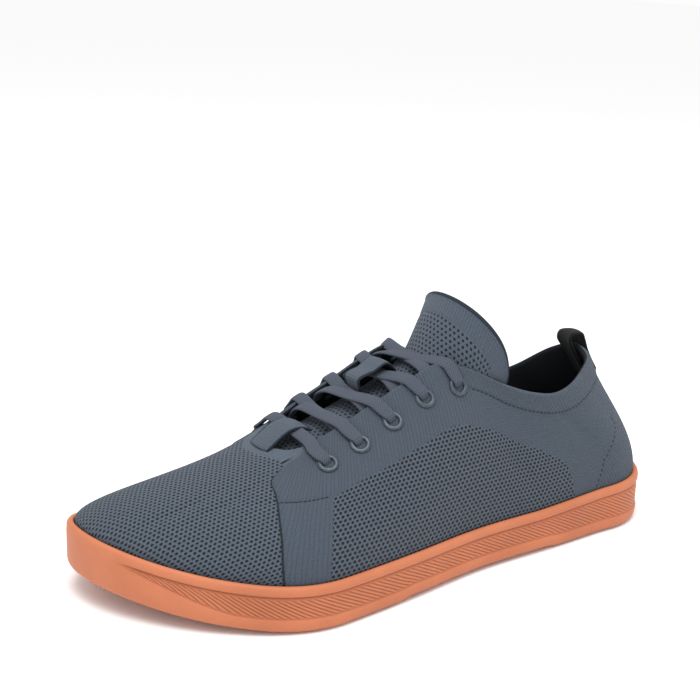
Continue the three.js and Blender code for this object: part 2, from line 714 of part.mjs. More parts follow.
function upper() {
  const body = solidFrom(upperBody());
  const cutter = holeCutter();
  const holes = [];
  for (const side of Object.keys(EYELET_SPAN)) {
    for (let row = 0; row < EYELET_ROWS; row += 1) {
      const seat = eyeletSeat(side, row);
      holes.push(solidFrom(turnTo(cutter, seat.point, seat.normal)));
    }
  }
  return geometryFrom(body.subtract(joinAll(holes)));
}

// Insole: a flat bed inside the upper's wall
function insole() {
  const inset = UPPER_INSET + WALL + GAP;
  const low = (x) => groundAt(x) + PLATE + GAP;
  return loftRings([
    soleRing(inset, low),
    soleRing(inset, (x) => low(x) + INSOLE),
  ]);
}

// Tongue: ridge line in shares of LENGTH and INSTEP, with the radius of its curl,
// the half angle that it wraps, and the tilt of its section.
const TONGUE = [
  { at: 0.0, x: 0.73, z: 0.53, y: -0.05, radius: 0.265, wrap: 34, tilt: 24 },
  { at: 0.2, x: 0.655, z: 0.645, y: -0.04, radius: 0.26, wrap: 44, tilt: 27 },
  { at: 0.4, x: 0.575, z: 0.752, y: -0.035, radius: 0.255, wrap: 50, tilt: 29 },
  { at: 0.6, x: 0.5, z: 0.852, y: -0.025, radius: 0.235, wrap: 60, tilt: 33 },
  { at: 0.75, x: 0.457, z: 0.955, y: -0.01, radius: 0.218, wrap: 88, tilt: 44 },
  { at: 0.87, x: 0.432, z: 1.1, y: -0.005, radius: 0.214, wrap: 118, tilt: 50 },
  { at: 1.0, x: 0.41, z: 1.26, y: 0.0, radius: 0.228, wrap: 128, tilt: 52 },
];
const TONGUE_AT = TONGUE.map((row) => row.at);
const TONGUE_COLUMNS = Object.fromEntries(
  Object.keys(TONGUE[0]).map((name) => [name, TONGUE.map((row) => row[name])]),
);

// Face of the tongue: a from -1 (inner side) to 1 (outer side), s from the toe end to the top.
// Past a quarter turn its sides run straight down, and its top edge falls away to both sides.
function tongueAt(a, s, lift = 0) {
  const top = 1 - TONGUE_FALL * Math.abs(a) ** 2.4;
  const value = (name) => smooth(s * top, TONGUE_AT, TONGUE_COLUMNS[name]);
  const tilt = THREE.MathUtils.degToRad(value("tilt"));
  const angle = THREE.MathUtils.degToRad(value("wrap")) * a;
  const bend = clamp(angle, -Math.PI / 2, Math.PI / 2);
  const radius = value("radius") * BALL;
  const down = (Math.cos(bend) - 1) * radius - Math.abs(angle - bend) * radius + Math.cos(bend) * lift;
  const up = new THREE.Vector3(Math.sin(tilt), 0, Math.cos(tilt));
  const point = new THREE.Vector3(value("x") * LENGTH, value("y") * BALL, value("z") * INSTEP);
  point.addScaledVector(up, down);
  point.y += Math.sin(bend) * (radius + lift);
  return point;
}

function tongue() {
  const columns = 13;
  const rows = 13;
  const outer = [];
  const inner = [];
  for (let r = 0; r < rows; r += 1) {
    const outerRow = [];
    const innerRow = [];
    for (let c = 0; c < columns; c += 1) {
      const a = (2 * c) / (columns - 1) - 1;
      const s = r / (rows - 1);
      outerRow.push(tongueAt(a, s).toArray());
      innerRow.push(tongueAt(a, s, -TONGUE_THICK).toArray());
    }
    outer.push(outerRow);
    inner.push(innerRow);
  }
  return sheetSolid(outer, inner);
}

// A closed strip through rings of four corners
function stripFrom(rings) {
  const faces = [[0, 1, 2], [0, 2, 3]];
  for (let r = 0; r + 1 < rings.length; r += 1) {
    faces.push(...ringFaces((r + 1) * 4, r * 4, 4));
  }
  const end = (rings.length - 1) * 4;
  faces.push([end, end + 2, end + 1], [end, end + 3, end + 2]);
  return meshFrom(rings.flat(), faces);
}

// Ribbon swept along points, flat side held square to the given directions
function ribbon(points, normals, widths, thick) {
  const centre = new THREE.CatmullRomCurve3(points, false, "centripetal");
  const steps = (points.length - 1) * 2;
  const rings = [];
  for (let k = 0; k <= steps; k += 1) {
    const share = k / steps;
    const place = share * (points.length - 1);
    const low = Math.min(Math.floor(place), points.length - 2);
    const t = place - low;
    const point = centre.getPoint(share);
    const along = centre.getTangent(share);
    const normal = normals[low].clone().lerp(normals[low + 1], t);
    const across = along.clone().cross(normal).normalize();
    const up = across.clone().cross(along).normalize();
    const half = mix(widths[low], widths[low + 1], t) / 2;
    const ring = [[-1, -1], [1, -1], [1, 1], [-1, 1]].map(([w, h]) => point.clone()
      .addScaledVector(across, w * half)
      .addScaledVector(up, (h * thick) / 2)
      .toArray());
    rings.push(ring);
  }
  return stripFrom(rings);
}

// Point on the upper's outer face near the throat edge, lifted off it
function flapPoint(u, s, lift) {
  const normal = upperNormal(u, s);
  const step = upperStep(u, s, 1 - COLLAR_BAND / sectionLength(u));
  return { point: upperAt(u, s).addScaledVector(normal, step + lift), normal };
}

const LACE_EASE = 0.95; // the flat ribbon stands this much off the curved flap
const LACE_LIFT = GAP + LACE_THICK / 2 + LACE_EASE;
const LACE_OFFSET = 0.2; // height of a strand's hidden end over the flap edge's face
const LACE_INWARD = 3.4; // way of a strand's hidden end from the flap's edge
const OVERLAP = 0.6; // share of its thickness by which the upper strand rises at a crossing
const RING_REACH = 1.2; // a strand turns down this far from the eyelet's axis
const RING_CLEAR = 1.1; // its height there over the eyelet's flange
const RIM_AIM = 1.5; // the turn points this far over the flap
const DIP_UP = 0.4; // height of a strand's end in the eyelet
const DIP_REACH = 0.3; // way of that end from the eyelet's axis
const TURN_SHARE = 0.75; // how far the flat side turns towards the hole
const LACE_NARROW = 4.4; // widths of the lace as it gathers into the eyelet
const LACE_GATHER = 2.8;
const BAR_CROWN = 0.6; // rise of the bottom bar's middle

// Height of the tongue's middle line at x
function tongueTop(x) {
  return tongueAt(0, tongueShare(x)).z;
}

// Lifts a lace's point clear of the tongue
function overTongue(point, lift) {
  point.z = Math.max(point.z, tongueTop(point.x - LACE_WIDTH / 3) + lift);
  return point;
}

// One strand: from under one flap's edge, over the tongue and the other flap, to an eyelet
function laceStrand(fromSide, fromRow, toSide, toRow, over) {
  const to = eyeletSeat(toSide, toRow);
  const sign = toSide === "lateral" ? 1 : -1;
  const span = EYELET_SPAN[fromSide];
  const fromU = mix(span.first, span.last, (fromRow + OVERLAP) / (EYELET_ROWS - 1));
  const entry = flapPoint(to.u, 1, LACE_LIFT);
  const startUp = upperNormal(fromU, 0.98);
  const inside = upperAt(fromU, 1).addScaledVector(startUp, over + LACE_OFFSET);
  inside.y += sign * LACE_INWARD;
  const middle = inside.clone().lerp(entry.point, 0.5);
  middle.z += over - LACE_SAG;
  overTongue(middle, TONGUE_CLEAR + over);
  overTongue(inside, TONGUE_CLEAR + over);
  const flap = flapPoint(to.u, mix(to.s, 1, 0.5), LACE_LIFT);
  const rim = flapPoint(to.u, mix(to.s, 1, 0.3), LACE_LIFT + RIM_AIM);
  const above = to.point.clone().addScaledVector(to.normal, GAP + EYELET_FLANGE + LACE_THICK / 2 + RING_CLEAR);
  const toEdge = rim.point.clone().sub(above).normalize();
  above.addScaledVector(toEdge, RING_REACH);
  const dip = to.point.clone().addScaledVector(to.normal, DIP_UP).addScaledVector(toEdge, DIP_REACH);
  const points = [inside, middle, entry.point, flap.point, above, dip];
  const middleUp = startUp.clone().lerp(entry.normal, 0.5).normalize();
  const into = to.normal.clone().lerp(toEdge.clone().negate(), TURN_SHARE).normalize();
  const normals = [startUp, middleUp, entry.normal, flap.normal, to.normal, into];
  const widths = [LACE_WIDTH, LACE_WIDTH, LACE_WIDTH, LACE_WIDTH, LACE_NARROW, LACE_GATHER];
  return solidFrom(ribbon(points, normals, widths, LACE_THICK));
}

function laceCrossing(row) {
  const lower = laceStrand("lateral", row, "medial", row + 1, 0);
  const upperStrand = laceStrand("medial", row, "lateral", row + 1, LACE_THICK * OVERLAP);
  return geometryFrom(lower.add(upperStrand));
}

// The bottom bar's way from its middle into each of the first two eyelets
function barHalves() {
  return ["lateral", "medial"].map((side) => {
    const to = eyeletSeat(side, 0);
    const edge = flapPoint(to.u, 1, LACE_LIFT);
    const flap = flapPoint(to.u, mix(to.s, 1, 0.5), LACE_LIFT);
    const above = to.point.clone().addScaledVector(to.normal, GAP + EYELET_FLANGE + LACE_THICK / 2 + RING_CLEAR);
    const toEdge = flap.point.clone().sub(above).normalize();
    above.addScaledVector(toEdge, RING_REACH);
    const dip = to.point.clone().addScaledVector(to.normal, DIP_UP).addScaledVector(toEdge, DIP_REACH);
    const into = to.normal.clone().lerp(toEdge.clone().negate(), TURN_SHARE).normalize();
    return {
      points: [edge.point, flap.point, above, dip],
      normals: [edge.normal, flap.normal, to.normal, into],
    };
  });
}

function barMiddle() {
  const [outer, inner] = barHalves();
  const middle = outer.points[0].clone().lerp(inner.points[0], 0.5);
  middle.z += BAR_CROWN;
  return middle;
}

// Height of the upper's outer face over x, on the line from the toe to the throat
function vampTop(x) {
  let low = 0;
  let high = 1;
  for (let k = 0; k < 20; k += 1) {
    const s = (low + high) / 2;
    if (upperAt(0, s).x > x) low = s;
    else high = s;
  }
  const step = upperStep(0, low, 1 - COLLAR_BAND / sectionLength(0));
  return upperAt(0, low).addScaledVector(upperNormal(0, low), step).z;
}

// Bottom bar between the first two eyelets
function laceBar() {
  const [outer, inner] = barHalves();
  const middle = barMiddle();
  const up = outer.normals[0].clone().lerp(inner.normals[0], 0.5).normalize();
  const points = [...outer.points.slice().reverse(), middle, ...inner.points];
  const normals = [...outer.normals.slice().reverse(), up, ...inner.normals];
  const flat = LACE_WIDTH;
  const widths = [LACE_GATHER, LACE_NARROW, flat, flat, flat, flat, flat, LACE_NARROW, LACE_GATHER];
  return ribbon(points, normals, widths, LACE_THICK);
}

// Flat band: each line runs along it from its ankle end, lines go from inner to outer side
function strapSolid(lines, thick, steps) {
  const outer = [];
  const inner = [];
  for (const line of lines) {
    const curve = new THREE.CatmullRomCurve3(line, false, "centripetal");
    const outerRow = [];
    const innerRow = [];
    for (let k = 0; k <= steps; k += 1) {
      const point = curve.getPoint(k / steps);
      const along = curve.getTangent(k / steps);
      const up = new THREE.Vector3(-along.z, 0, along.x).normalize();
      outerRow.push(point.clone().addScaledVector(up, thick / 2).toArray());
      innerRow.push(point.clone().addScaledVector(up, -thick / 2).toArray());
    }
    outer.push(outerRow);
    inner.push(innerRow);
  }
  return sheetSolid(outer, inner);
}

const STRAP_LINES = [-0.5, -0.25, 0, 0.25, 0.5]; // shares of a band's width

// Pull loop: webbing folded over the back of the collar, with a leg on each side of the wall
const LOOP_AT = 0.503; // share round the foot
const COLLAR_SHARE = 0.00115; // share round the foot for a millimetre of collar edge
const LOOP_REACH = 7.2; // way from the loop's outer leg to its inner one
const LOOP_BELLY = 0.6; // its inner leg leans this much off the wall below the crown
const LOOP_STEPS = 22;
const STRAP_STEPS = 12;
const LOOP_CROWN = [
  { x: -0.0556, up: 0.6 },
  { x: 0.4722, up: 0.9 },
  { x: 1, up: 0.62 },
];

function pullLoop() {
  const outside = COLLAR_STEP + SEAM_STEP + GAP + LOOP_THICK / 2;
  const inside = -WALL - 2 * GAP - FACET_EASE - LOOP_THICK / 2;
  const lines = STRAP_LINES.map((across) => {
    const u = LOOP_AT - across * LOOP_WIDTH * COLLAR_SHARE;
    const crown = upperAt(u, 1);
    const place = (down, offset) => {
      const s = 1 - down / sectionLength(u);
      return upperAt(u, s).addScaledVector(upperNormal(u, s), offset);
    };
    return [
      place(LOOP_FOOT, outside),
      place(LOOP_FOOT / 2, outside),
      place(GAP * 2, outside),
      ...LOOP_CROWN.map((row) => crown.clone().add(new THREE.Vector3(row.x * LOOP_REACH, 0, row.up * LOOP_STAND))),
      place(GAP * 2, inside - LOOP_BELLY),
      place(LOOP_FOOT / 2, inside),
      place(LOOP_FOOT, inside),
    ];
  });
  return strapSolid(lines, LOOP_THICK, LOOP_STEPS);
}

// Share along the tongue where its middle line reaches x
function tongueShare(x) {
  let low = 0;
  let high = 1;
  for (let k = 0; k < 20; k += 1) {
    const s = (low + high) / 2;
    if (tongueAt(0, s).x > x) low = s;
    else high = s;
  }
  return low;
}

// Knit strap on the tongue, arched over one crossing of the lace
const KEEPER_ARCH = [
  { along: -1.4, rise: 0 },
  { along: -1.36, rise: 0.5 },
  { along: -1.15, rise: 1 },
  { along: -0.2, rise: 1 },
  { along: 0.76, rise: 1 },
  { along: 0.93, rise: 0.5 },
  { along: 0.97, rise: 0 },
];

function tongueKeeper() {
  const rows = [KEEPER_CROSSING, KEEPER_CROSSING + 1];
  const seats = rows.flatMap((row) => Object.keys(EYELET_SPAN).map((side) => eyeletSeat(side, row)));
  const centre = seats.reduce((sum, seat) => sum + seat.point.x, 0) / seats.length - KEEPER_BACK;
  const low = 2 * GAP + KEEPER_THICK / 2;
  const high = TONGUE_CLEAR + LACE_THICK * KEEPER_OVER + GAP + KEEPER_THICK / 2;
  const lines = STRAP_LINES.map((across) => {
    const a = (across * KEEPER_WIDTH) / (2 * KEEPER_HALF_ARC);
    return KEEPER_ARCH.map((row) => {
      const share = tongueShare(centre + row.along * KEEPER_REACH);
      return tongueAt(a, share, mix(low, high, row.rise));
    });
  });
  return strapSolid(lines, KEEPER_THICK, STRAP_STEPS);
}

// Knit tab on the front of the throat, over the bottom bar
function vampTab() {
  const bar = barMiddle();
  const over = LACE_THICK / 2 + 6 * GAP + KEEPER_THICK / 2;
  const front = bar.x + TAB_LEAD;
  const lines = STRAP_LINES.map((across) => {
    const y = across * TAB_WIDTH;
    const sink = (y * y) / (2 * TAB_ROUND);
    const at = (x, z) => new THREE.Vector3(x, bar.y + y, z - sink);
    const tail = bar.x - TAB_TAIL;
    return [
      at(tail, bar.z + over + TAB_RISE),
      at(bar.x - LACE_WIDTH * 0.3, bar.z + over + TAB_RISE / 2),
      at(bar.x, bar.z + over),
      at(bar.x + LACE_WIDTH * 0.6, bar.z + over - BAR_CROWN),
      at(front, vampTop(front) + 2 * GAP + KEEPER_THICK / 2),
    ];
  });
  return strapSolid(lines, KEEPER_THICK, STRAP_STEPS);
}

// Materials
const rubber = new THREE.MeshStandardMaterial({ color: 0xd9805a, roughness: 0.55, metalness: 0 });
const knit = new THREE.MeshStandardMaterial({ color: 0x56616e, roughness: 0.9, metalness: 0 });
const cord = new THREE.MeshStandardMaterial({ color: 0x4b505d, roughness: 0.85, metalness: 0 });
const enamel = new THREE.MeshStandardMaterial({ color: 0x4f5966, roughness: 0.4, metalness: 0.3 });
const webbing = new THREE.MeshStandardMaterial({ color: 0x14171a, roughness: 0.9, metalness: 0 });
const foam = new THREE.MeshStandardMaterial({ color: 0x1b1d20, roughness: 0.95, metalness: 0 });

const shoe = new THREE.Group();

function addPiece(name, geometry, material) {
  const mesh = new THREE.Mesh(geometry, material);
  mesh.name = name;
  shoe.add(mesh);
  return mesh;
}

addPiece("outsole", outsole(), rubber);
addPiece("insole", insole(), foam);
addPiece("upper", upper(), knit);
addPiece("tongue", tongue(), knit);
addPiece("tongue_keeper", tongueKeeper(), knit);
addPiece("vamp_tab", vampTab(), knit);
addPiece("heel_pull_loop", pullLoop(), webbing);
for (const side of Object.keys(EYELET_SPAN)) {
  for (let row = 0; row < EYELET_ROWS; row += 1) {
    const seat = eyeletSeat(side, row);
    addPiece(`eyelet_${side}_${row + 1}`, turnTo(eyeletGeometry(), seat.point, seat.normal), enamel);
  }
}
addPiece("lace_bar_1", laceBar(), cord);
for (let row = 0; row + 1 < EYELET_ROWS; row += 1) {
  addPiece(`lace_crossing_${row + 1}`, laceCrossing(row), cord);
}

// Stand the shoe on the floor, centred on the origin
const box = new THREE.Box3().setFromObject(shoe);
const middle = box.getCenter(new THREE.Vector3());
shoe.position.set(-middle.x, -middle.y, -box.min.z);

export default shoe;
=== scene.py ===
"""Dresses the barefoot shoe: knit upper, gum rubber sole, lace, eyelets, tongue and webbing loop.

Shapes are worked out in the shoe's own millimetres: x from the heel to the toe, y towards the
outer side of the foot, z up from the floor. u goes round the foot from the toe along the outer
side, and s goes up a section of the upper, from the sole's lip (0) to the opening (1).
"""
import math

import bmesh
import bpy
import numpy as np
from mathutils import Matrix, Vector


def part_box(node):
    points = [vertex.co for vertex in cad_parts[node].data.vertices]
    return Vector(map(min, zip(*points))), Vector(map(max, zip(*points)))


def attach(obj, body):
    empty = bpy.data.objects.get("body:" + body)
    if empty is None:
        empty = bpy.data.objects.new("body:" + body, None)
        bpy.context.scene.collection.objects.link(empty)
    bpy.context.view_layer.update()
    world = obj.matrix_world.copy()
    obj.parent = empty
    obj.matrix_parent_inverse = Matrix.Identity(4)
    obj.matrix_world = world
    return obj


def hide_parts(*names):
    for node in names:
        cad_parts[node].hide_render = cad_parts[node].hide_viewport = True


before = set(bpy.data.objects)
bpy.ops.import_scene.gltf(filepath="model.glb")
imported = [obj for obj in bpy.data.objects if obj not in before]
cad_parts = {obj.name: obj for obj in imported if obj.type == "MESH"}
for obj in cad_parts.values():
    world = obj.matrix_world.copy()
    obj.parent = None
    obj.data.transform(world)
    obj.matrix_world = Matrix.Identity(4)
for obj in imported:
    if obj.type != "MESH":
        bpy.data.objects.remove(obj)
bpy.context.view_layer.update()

# Driving sizes, in millimetres
LENGTH = 288.0
BALL = 110.0
INSTEP = 95.0
HEEL_HEIGHT = 82.5

# Sole
PLATE = 6.0
SIDE = 20.8
HEEL_RISE = 3.6
TOE_SPRING = 11.2
TOE_BREAK = 0.752
TOE_BEND = 0.15
ARCH_RISE = 0.8
ARCH_SLOPE = 6.0
ARCH_AT = 0.42  # share of the length at the arch's middle
ARCH_HALF = 0.17
LIP_BREAK = 0.74  # share of the length where the lip's rise to the toe begins
HEEL_RISE_END = 0.3
CUP_WALL = 3.2
LUG_DEPTH = 1.8
RIM_CLEAR = 0.6
RIM = 8.5
TUCK = 2.0
LIP = 4.2
BAND = 6.0
RIB_DEPTH = 0.9
RIBS_A_SIDE = 110
RIB_COLUMNS = 4  # columns of the mesh in one rib
RIB_SLANT = 2.0  # how far a rib runs back for each millimetre that it falls
# Shares of the length between which the ribs fade in and out, the ribbed side's recess opens
# and closes, and its lower line rises to the lip
RIBS_OPEN = (0.012, 0.05)
RIBS_CLOSE = (0.94, 0.975)
RECESS_OPENS = (0.002, 0.035)
RECESS_CLOSES = (0.95, 0.98)
BAND_CLOSES = (0.84, 0.985)
GAP = 0.3

# Tread
DART_PITCH = 14.8
DART_COLUMN = 22.0
ZIGZAG_PITCH = 7.4
ZIGZAG_SWING = 5.0
ZIGZAG_RIDGE = 3.8
ZIGZAG_ROWS = 5
ZIGZAG_COS = 0.92  # of the slope of its strokes
ZIGZAG_FIRST = 0.35  # pitches from the smooth rim to the first ridge
DART_BARB = (1.08, 0.39)  # pitches and columns from a dart's tip to its barbs
DART_NOTCH = 0.78  # pitches from its tip to the notch between them
DART_FACING = 1.14  # pitches from a dart's tip to the tip of the dart that faces it
TREAD_SOFT = 0.55  # half width of the round at a lug's edge

# Upper
WALL = 2.0
COLLAR_STEP = 0.5
COLLAR_BAND = 9.5
SEAM_STEP = 0.55
UPPER_INSET = CUP_WALL + GAP
UPPER_FOOT = PLATE + GAP
COLLAR_FROM = 0.312  # share round the foot where the ribbed collar begins
EYESTAY_END = 0.318  # share round the foot where the ribs behind the laces end

# Lacing
EYELET_OUTER = 9.0
EYELET_HOLE = 5.0
EYELET_ROWS = 5
EYELET_INSET = 16.5
LACE_WIDTH = 6.0
LACE_THICK = 1.6

# Soft parts
TONGUE_THICK = 2.4
TONGUE_FALL = 0.15
TONGUE_BORDER = 10.5
TONGUE_BINDING = 1.6
KEEPER_THICK = 1.2
LOOP_WIDTH = 14.0
LOOP_THICK = 1.4
LOOP_STAND = 8.0
LOOP_FOOT = 13.0


# Curves and tables
def hermite(x, xs, ys):
    """Cubic through a table of points, its slope at each point weighted from both neighbours."""
    xs = np.asarray(xs, float)
    ys = np.asarray(ys, float)
    steps = np.diff(xs)
    slopes = np.diff(ys) / steps
    tangents = np.empty_like(ys)
    tangents[1:-1] = (slopes[:-1] * steps[1:] + slopes[1:] * steps[:-1]) / (steps[:-1] + steps[1:])
    tangents[0] = slopes[0]
    tangents[-1] = slopes[-1]
    i = np.clip(np.searchsorted(xs, x, side="right") - 1, 0, len(xs) - 2)
    t = (x - xs[i]) / steps[i]
    start = (2 * t**3 - 3 * t**2 + 1) * ys[i] + (t**3 - 2 * t**2 + t) * steps[i] * tangents[i]
    return start + (3 * t**2 - 2 * t**3) * ys[i + 1] + (t**3 - t**2) * steps[i] * tangents[i + 1]


def ramp(x, low, high):
    """0 below low, 1 above high, with a smooth step between."""
    t = np.clip((x - low) / (high - low), 0, 1)
    return t * t * (3 - 2 * t)


def unit(v):
    """Vectors of length 1."""
    return v / np.maximum(np.linalg.norm(v, axis=-1, keepdims=True), 1e-12)


def way_along(points, axis=0):
    """Way along a line of points, or along each line of a grid of them, from 0."""
    steps = np.linalg.norm(np.diff(points, axis=axis), axis=-1)
    return np.concatenate([np.zeros_like(steps.take([0], axis)), np.cumsum(steps, axis)], axis)


def read_off(at, way, points):
    """Point at each place on the way along a line of points."""
    return np.stack([np.interp(at, way, column) for column in np.asarray(points, float).T], -1)


# Outline of the sole: half width as a share of BALL, at shares of the length from the heel
OUTLINE_AT = [0.0, 0.12, 0.25, 0.42, 0.564, 0.652, 0.7, 1.0]
OUTLINE_HALF = [0.335, 0.335, 0.345, 0.361, 0.43, 0.472, 0.493, 0.493]
TOE_CAP = 0.3
HEEL_CAP = 0.125
TOE_SWING = 0.2
BALL_SWING = 0.03
OUTLINE_STEPS = 720  # on each side


def half_width(t):
    """Half width from the table, times quarter ellipses that close the toe and the heel."""
    toe = np.clip((t - 1 + TOE_CAP) / TOE_CAP, 0, 1)
    heel = np.clip((HEEL_CAP - t) / HEEL_CAP, 0, 1)
    ends = np.sqrt(1 - toe**2) * np.sqrt(np.clip(1 - heel**2.2, 0, 1))
    return hermite(t, OUTLINE_AT, OUTLINE_HALF) * BALL * ends


def centre_line(t):
    """Middle of the outline: a swing outwards at the waist and inwards at the toe."""
    toe = np.clip((t - 1 + TOE_CAP) / TOE_CAP, 0, 1)
    waist = np.clip(1 - ((t - 0.5) / 0.35) ** 2, 0, 1)
    return BALL * (BALL_SWING * waist - TOE_SWING * toe**1.8)


def trace_outline():
    """Closed loop of the outline with cosine steps along the length, its outward directions
    and each point's share of the way round."""
    t = 0.5 + 0.5 * np.cos(np.linspace(0, np.pi, OUTLINE_STEPS + 1))
    outer = np.stack([t * LENGTH, centre_line(t) + half_width(t)], 1)
    inner = np.stack([t * LENGTH, centre_line(t) - half_width(t)], 1)
    loop = np.vstack([outer, inner[::-1][1:]])
    along = np.roll(loop[:-1], -1, 0) - np.roll(loop[:-1], 1, 0)
    out = unit(np.stack([along[:, 1], -along[:, 0]], 1))
    way = way_along(loop)
    return loop, np.vstack([out, out[:1]]), way / way[-1], way[-1]


OUTLINE_LOOP, OUTLINE_OUT, OUTLINE_SHARE, AROUND = trace_outline()
HEEL_SHARE = OUTLINE_SHARE[OUTLINE_STEPS]


def outline_at(u, inset=0.0):
    """Point of the outline at share u of the way round, moved inwards, and its direction."""
    u = np.mod(u, 1.0)
    out = unit(read_off(u, OUTLINE_SHARE, OUTLINE_OUT))
    return read_off(u, OUTLINE_SHARE, OUTLINE_LOOP) - out * np.asarray(inset)[..., None], out


def round_shares(half):
    """Shares round the outline, evenly spaced on each side."""
    k = np.arange(half) / half
    return np.concatenate([HEEL_SHARE * k, HEEL_SHARE + (1 - HEEL_SHARE) * k])


def ground_at(x):
    """Lowest line of the sole: flat, a slight arch, then a curve up to the toe."""
    t = x / LENGTH
    toe = np.clip((t - TOE_BREAK) / (1 - TOE_BREAK), 0, 1)
    arch = np.clip((ARCH_HALF - np.abs(t - ARCH_AT)) * LENGTH / ARCH_SLOPE, 0, 1)
    return TOE_SPRING * (toe**2 * (1 - TOE_BEND) + toe * TOE_BEND) + ARCH_RISE * arch


def lip_top_at(x):
    """Top line of the sole's lip: level, up a parabola at the toe and a slope at the heel."""
    t = x / LENGTH
    toe = np.clip((t - LIP_BREAK) / (1 - LIP_BREAK), 0, 1)
    return SIDE + TOE_SPRING * toe**2 + HEEL_RISE * np.clip(1 - t / HEEL_RISE_END, 0, 1)


# Sections of the upper round the foot: the opening's edge, and the bulge of the way up to it
SECTION_NAMES = ["at", "edge_x", "edge_y", "edge_z", "rise", "lean", "reach", "drop"]
SECTIONS = np.array([
    [0.0, 0.722, -0.064, 0.632, 0.32, 0.005, 0.6, 0.15],
    [0.055, 0.715, 0.018, 0.637, 0.36, 0.009, 0.58, 0.13],
    [0.105, 0.698, 0.082, 0.645, 0.38, 0.014, 0.5, 0.13],
    [0.15, 0.663, 0.114, 0.68, 0.4, 0.018, 0.42, 0.12],
    [0.19, 0.615, 0.127, 0.745, 0.42, 0.018, 0.38, 0.11],
    [0.228, 0.559, 0.132, 0.825, 0.45, 0.018, 0.38, 0.1],
    [0.262, 0.507, 0.141, 0.9, 0.47, 0.018, 0.4, 0.085],
    [0.295, 0.458, 0.159, 0.963, 0.48, 0.014, 0.4, 0.08],
    [0.325, 0.41, 0.209, 0.932, 0.45, 0.009, 0.35, 0.105],
    [0.355, 0.358, 0.255, 0.853, 0.4, 0.005, 0.3, 0.147],
    [0.39, 0.299, 0.282, 0.789, 0.38, 0.005, 0.3, 0.168],
    [0.425, 0.243, 0.277, 0.768, 0.38, 0.005, 0.3, 0.179],
    [0.46, 0.181, 0.218, 0.811, 0.35, 0.009, 0.3, 0.189],
    [0.485, 0.128, 0.109, 0.858, 0.33, 0.009, 0.3, 0.21],
    [0.503, 0.108, -0.027, HEEL_HEIGHT / INSTEP, 0.33, 0.009, 0.3, 0.21],
    [0.525, 0.122, -0.141, 0.821, 0.33, 0.009, 0.3, 0.21],
    [0.55, 0.167, -0.245, 0.711, 0.35, 0.009, 0.3, 0.168],
    [0.585, 0.229, -0.282, 0.674, 0.38, 0.005, 0.3, 0.147],
    [0.62, 0.288, -0.295, 0.705, 0.38, 0.005, 0.3, 0.147],
    [0.655, 0.347, -0.291, 0.789, 0.4, 0.005, 0.3, 0.137],
    [0.688, 0.403, -0.264, 0.889, 0.45, 0.009, 0.35, 0.105],
    [0.718, 0.448, -0.227, 0.947, 0.5, 0.012, 0.4, 0.063],
    [0.75, 0.5, -0.209, 0.911, 0.48, 0.012, 0.42, 0.063],
    [0.785, 0.556, -0.2, 0.837, 0.45, 0.012, 0.42, 0.1],
    [0.825, 0.615, -0.191, 0.763, 0.36, 0.012, 0.42, 0.13],
    [0.87, 0.663, -0.177, 0.7, 0.3, 0.012, 0.42, 0.17],
    [0.915, 0.698, -0.159, 0.658, 0.28, 0.009, 0.46, 0.19],
    [0.958, 0.715, -0.118, 0.637, 0.28, 0.005, 0.52, 0.18],
])


def wrapped_sections():
    """The table with its last three rows repeated before it and its first three after it."""
    before = SECTIONS[-3:].copy()
    before[:, 0] -= 1
    after = SECTIONS[:3].copy()
    after[:, 0] += 1
    return np.vstack([before, SECTIONS, after])


WRAPPED = wrapped_sections()


def section_value(u, name):
    """One column of the section table, smoothed round the foot."""
    return hermite(np.mod(u, 1.0), WRAPPED[:, 0], WRAPPED[:, SECTION_NAMES.index(name)])


def upper_face(u, s):
    """Outer face of the upper: a cubic curve from the lip's inner side to the opening's edge.
    Its second point leans out over the lip and its third hangs below the edge. Below s = 0
    the face goes straight down into the sole's cup."""
    u = np.asarray(u, float)
    s = np.asarray(s, float)
    base, out = outline_at(u, UPPER_INSET)
    ground = outline_at(u)[0][..., 0]
    foot_z = lip_top_at(ground) - 1
    foot = np.stack([base[..., 0], base[..., 1], foot_z], -1)
    edge = np.stack([section_value(u, "edge_x") * LENGTH,
                     section_value(u, "edge_y") * BALL,
                     section_value(u, "edge_z") * INSTEP], -1)
    lean = section_value(u, "lean") * BALL
    rise = section_value(u, "rise") * (edge[..., 2] - foot_z)
    first = foot + np.stack([out[..., 0] * lean, out[..., 1] * lean, rise], -1)
    reach = section_value(u, "reach")[..., None]
    second = edge + (foot - edge) * reach
    second[..., 2] = edge[..., 2] - section_value(u, "drop") * INSTEP
    t = np.clip(s, 0, 1)[..., None]
    point = ((1 - t) ** 3 * foot + 3 * (1 - t) ** 2 * t * first
             + 3 * (1 - t) * t**2 * second + t**3 * edge)
    below = np.clip(-s, 0, 1)
    point[..., 2] -= below * (foot_z - ground_at(ground) - UPPER_FOOT)
    return point


def upper_normal(u, s):
    """Outward direction of the upper's face, from its slopes round the foot and up the section."""
    u = np.asarray(u, float)
    s = np.asarray(s, float)
    step = 0.002
    held = np.clip(s, 0, 1)
    along = upper_face(u + step, held) - upper_face(u - step, held)
    up = upper_face(u, np.minimum(held + step, 1)) - upper_face(u, np.maximum(held - step, 0))
    return unit(np.cross(along, up))


# Ways along the sections and round the foot, worked out once on a grid
SHARES = np.linspace(0, 1, 1441)
LEVELS = np.linspace(0, 1, 33)
MIDDLE_LEVEL = 18
FACE_GRID = upper_face(SHARES[:, None], LEVELS[None, :])
SECTION_WAY = way_along(FACE_GRID, 1)
MIDDLE_WAY = way_along(FACE_GRID[:, MIDDLE_LEVEL])
EDGE_WAY = way_along(FACE_GRID[:, -1])
RIDGE = upper_face(np.zeros(300), np.linspace(1, 0, 300))  # from the throat to the toe


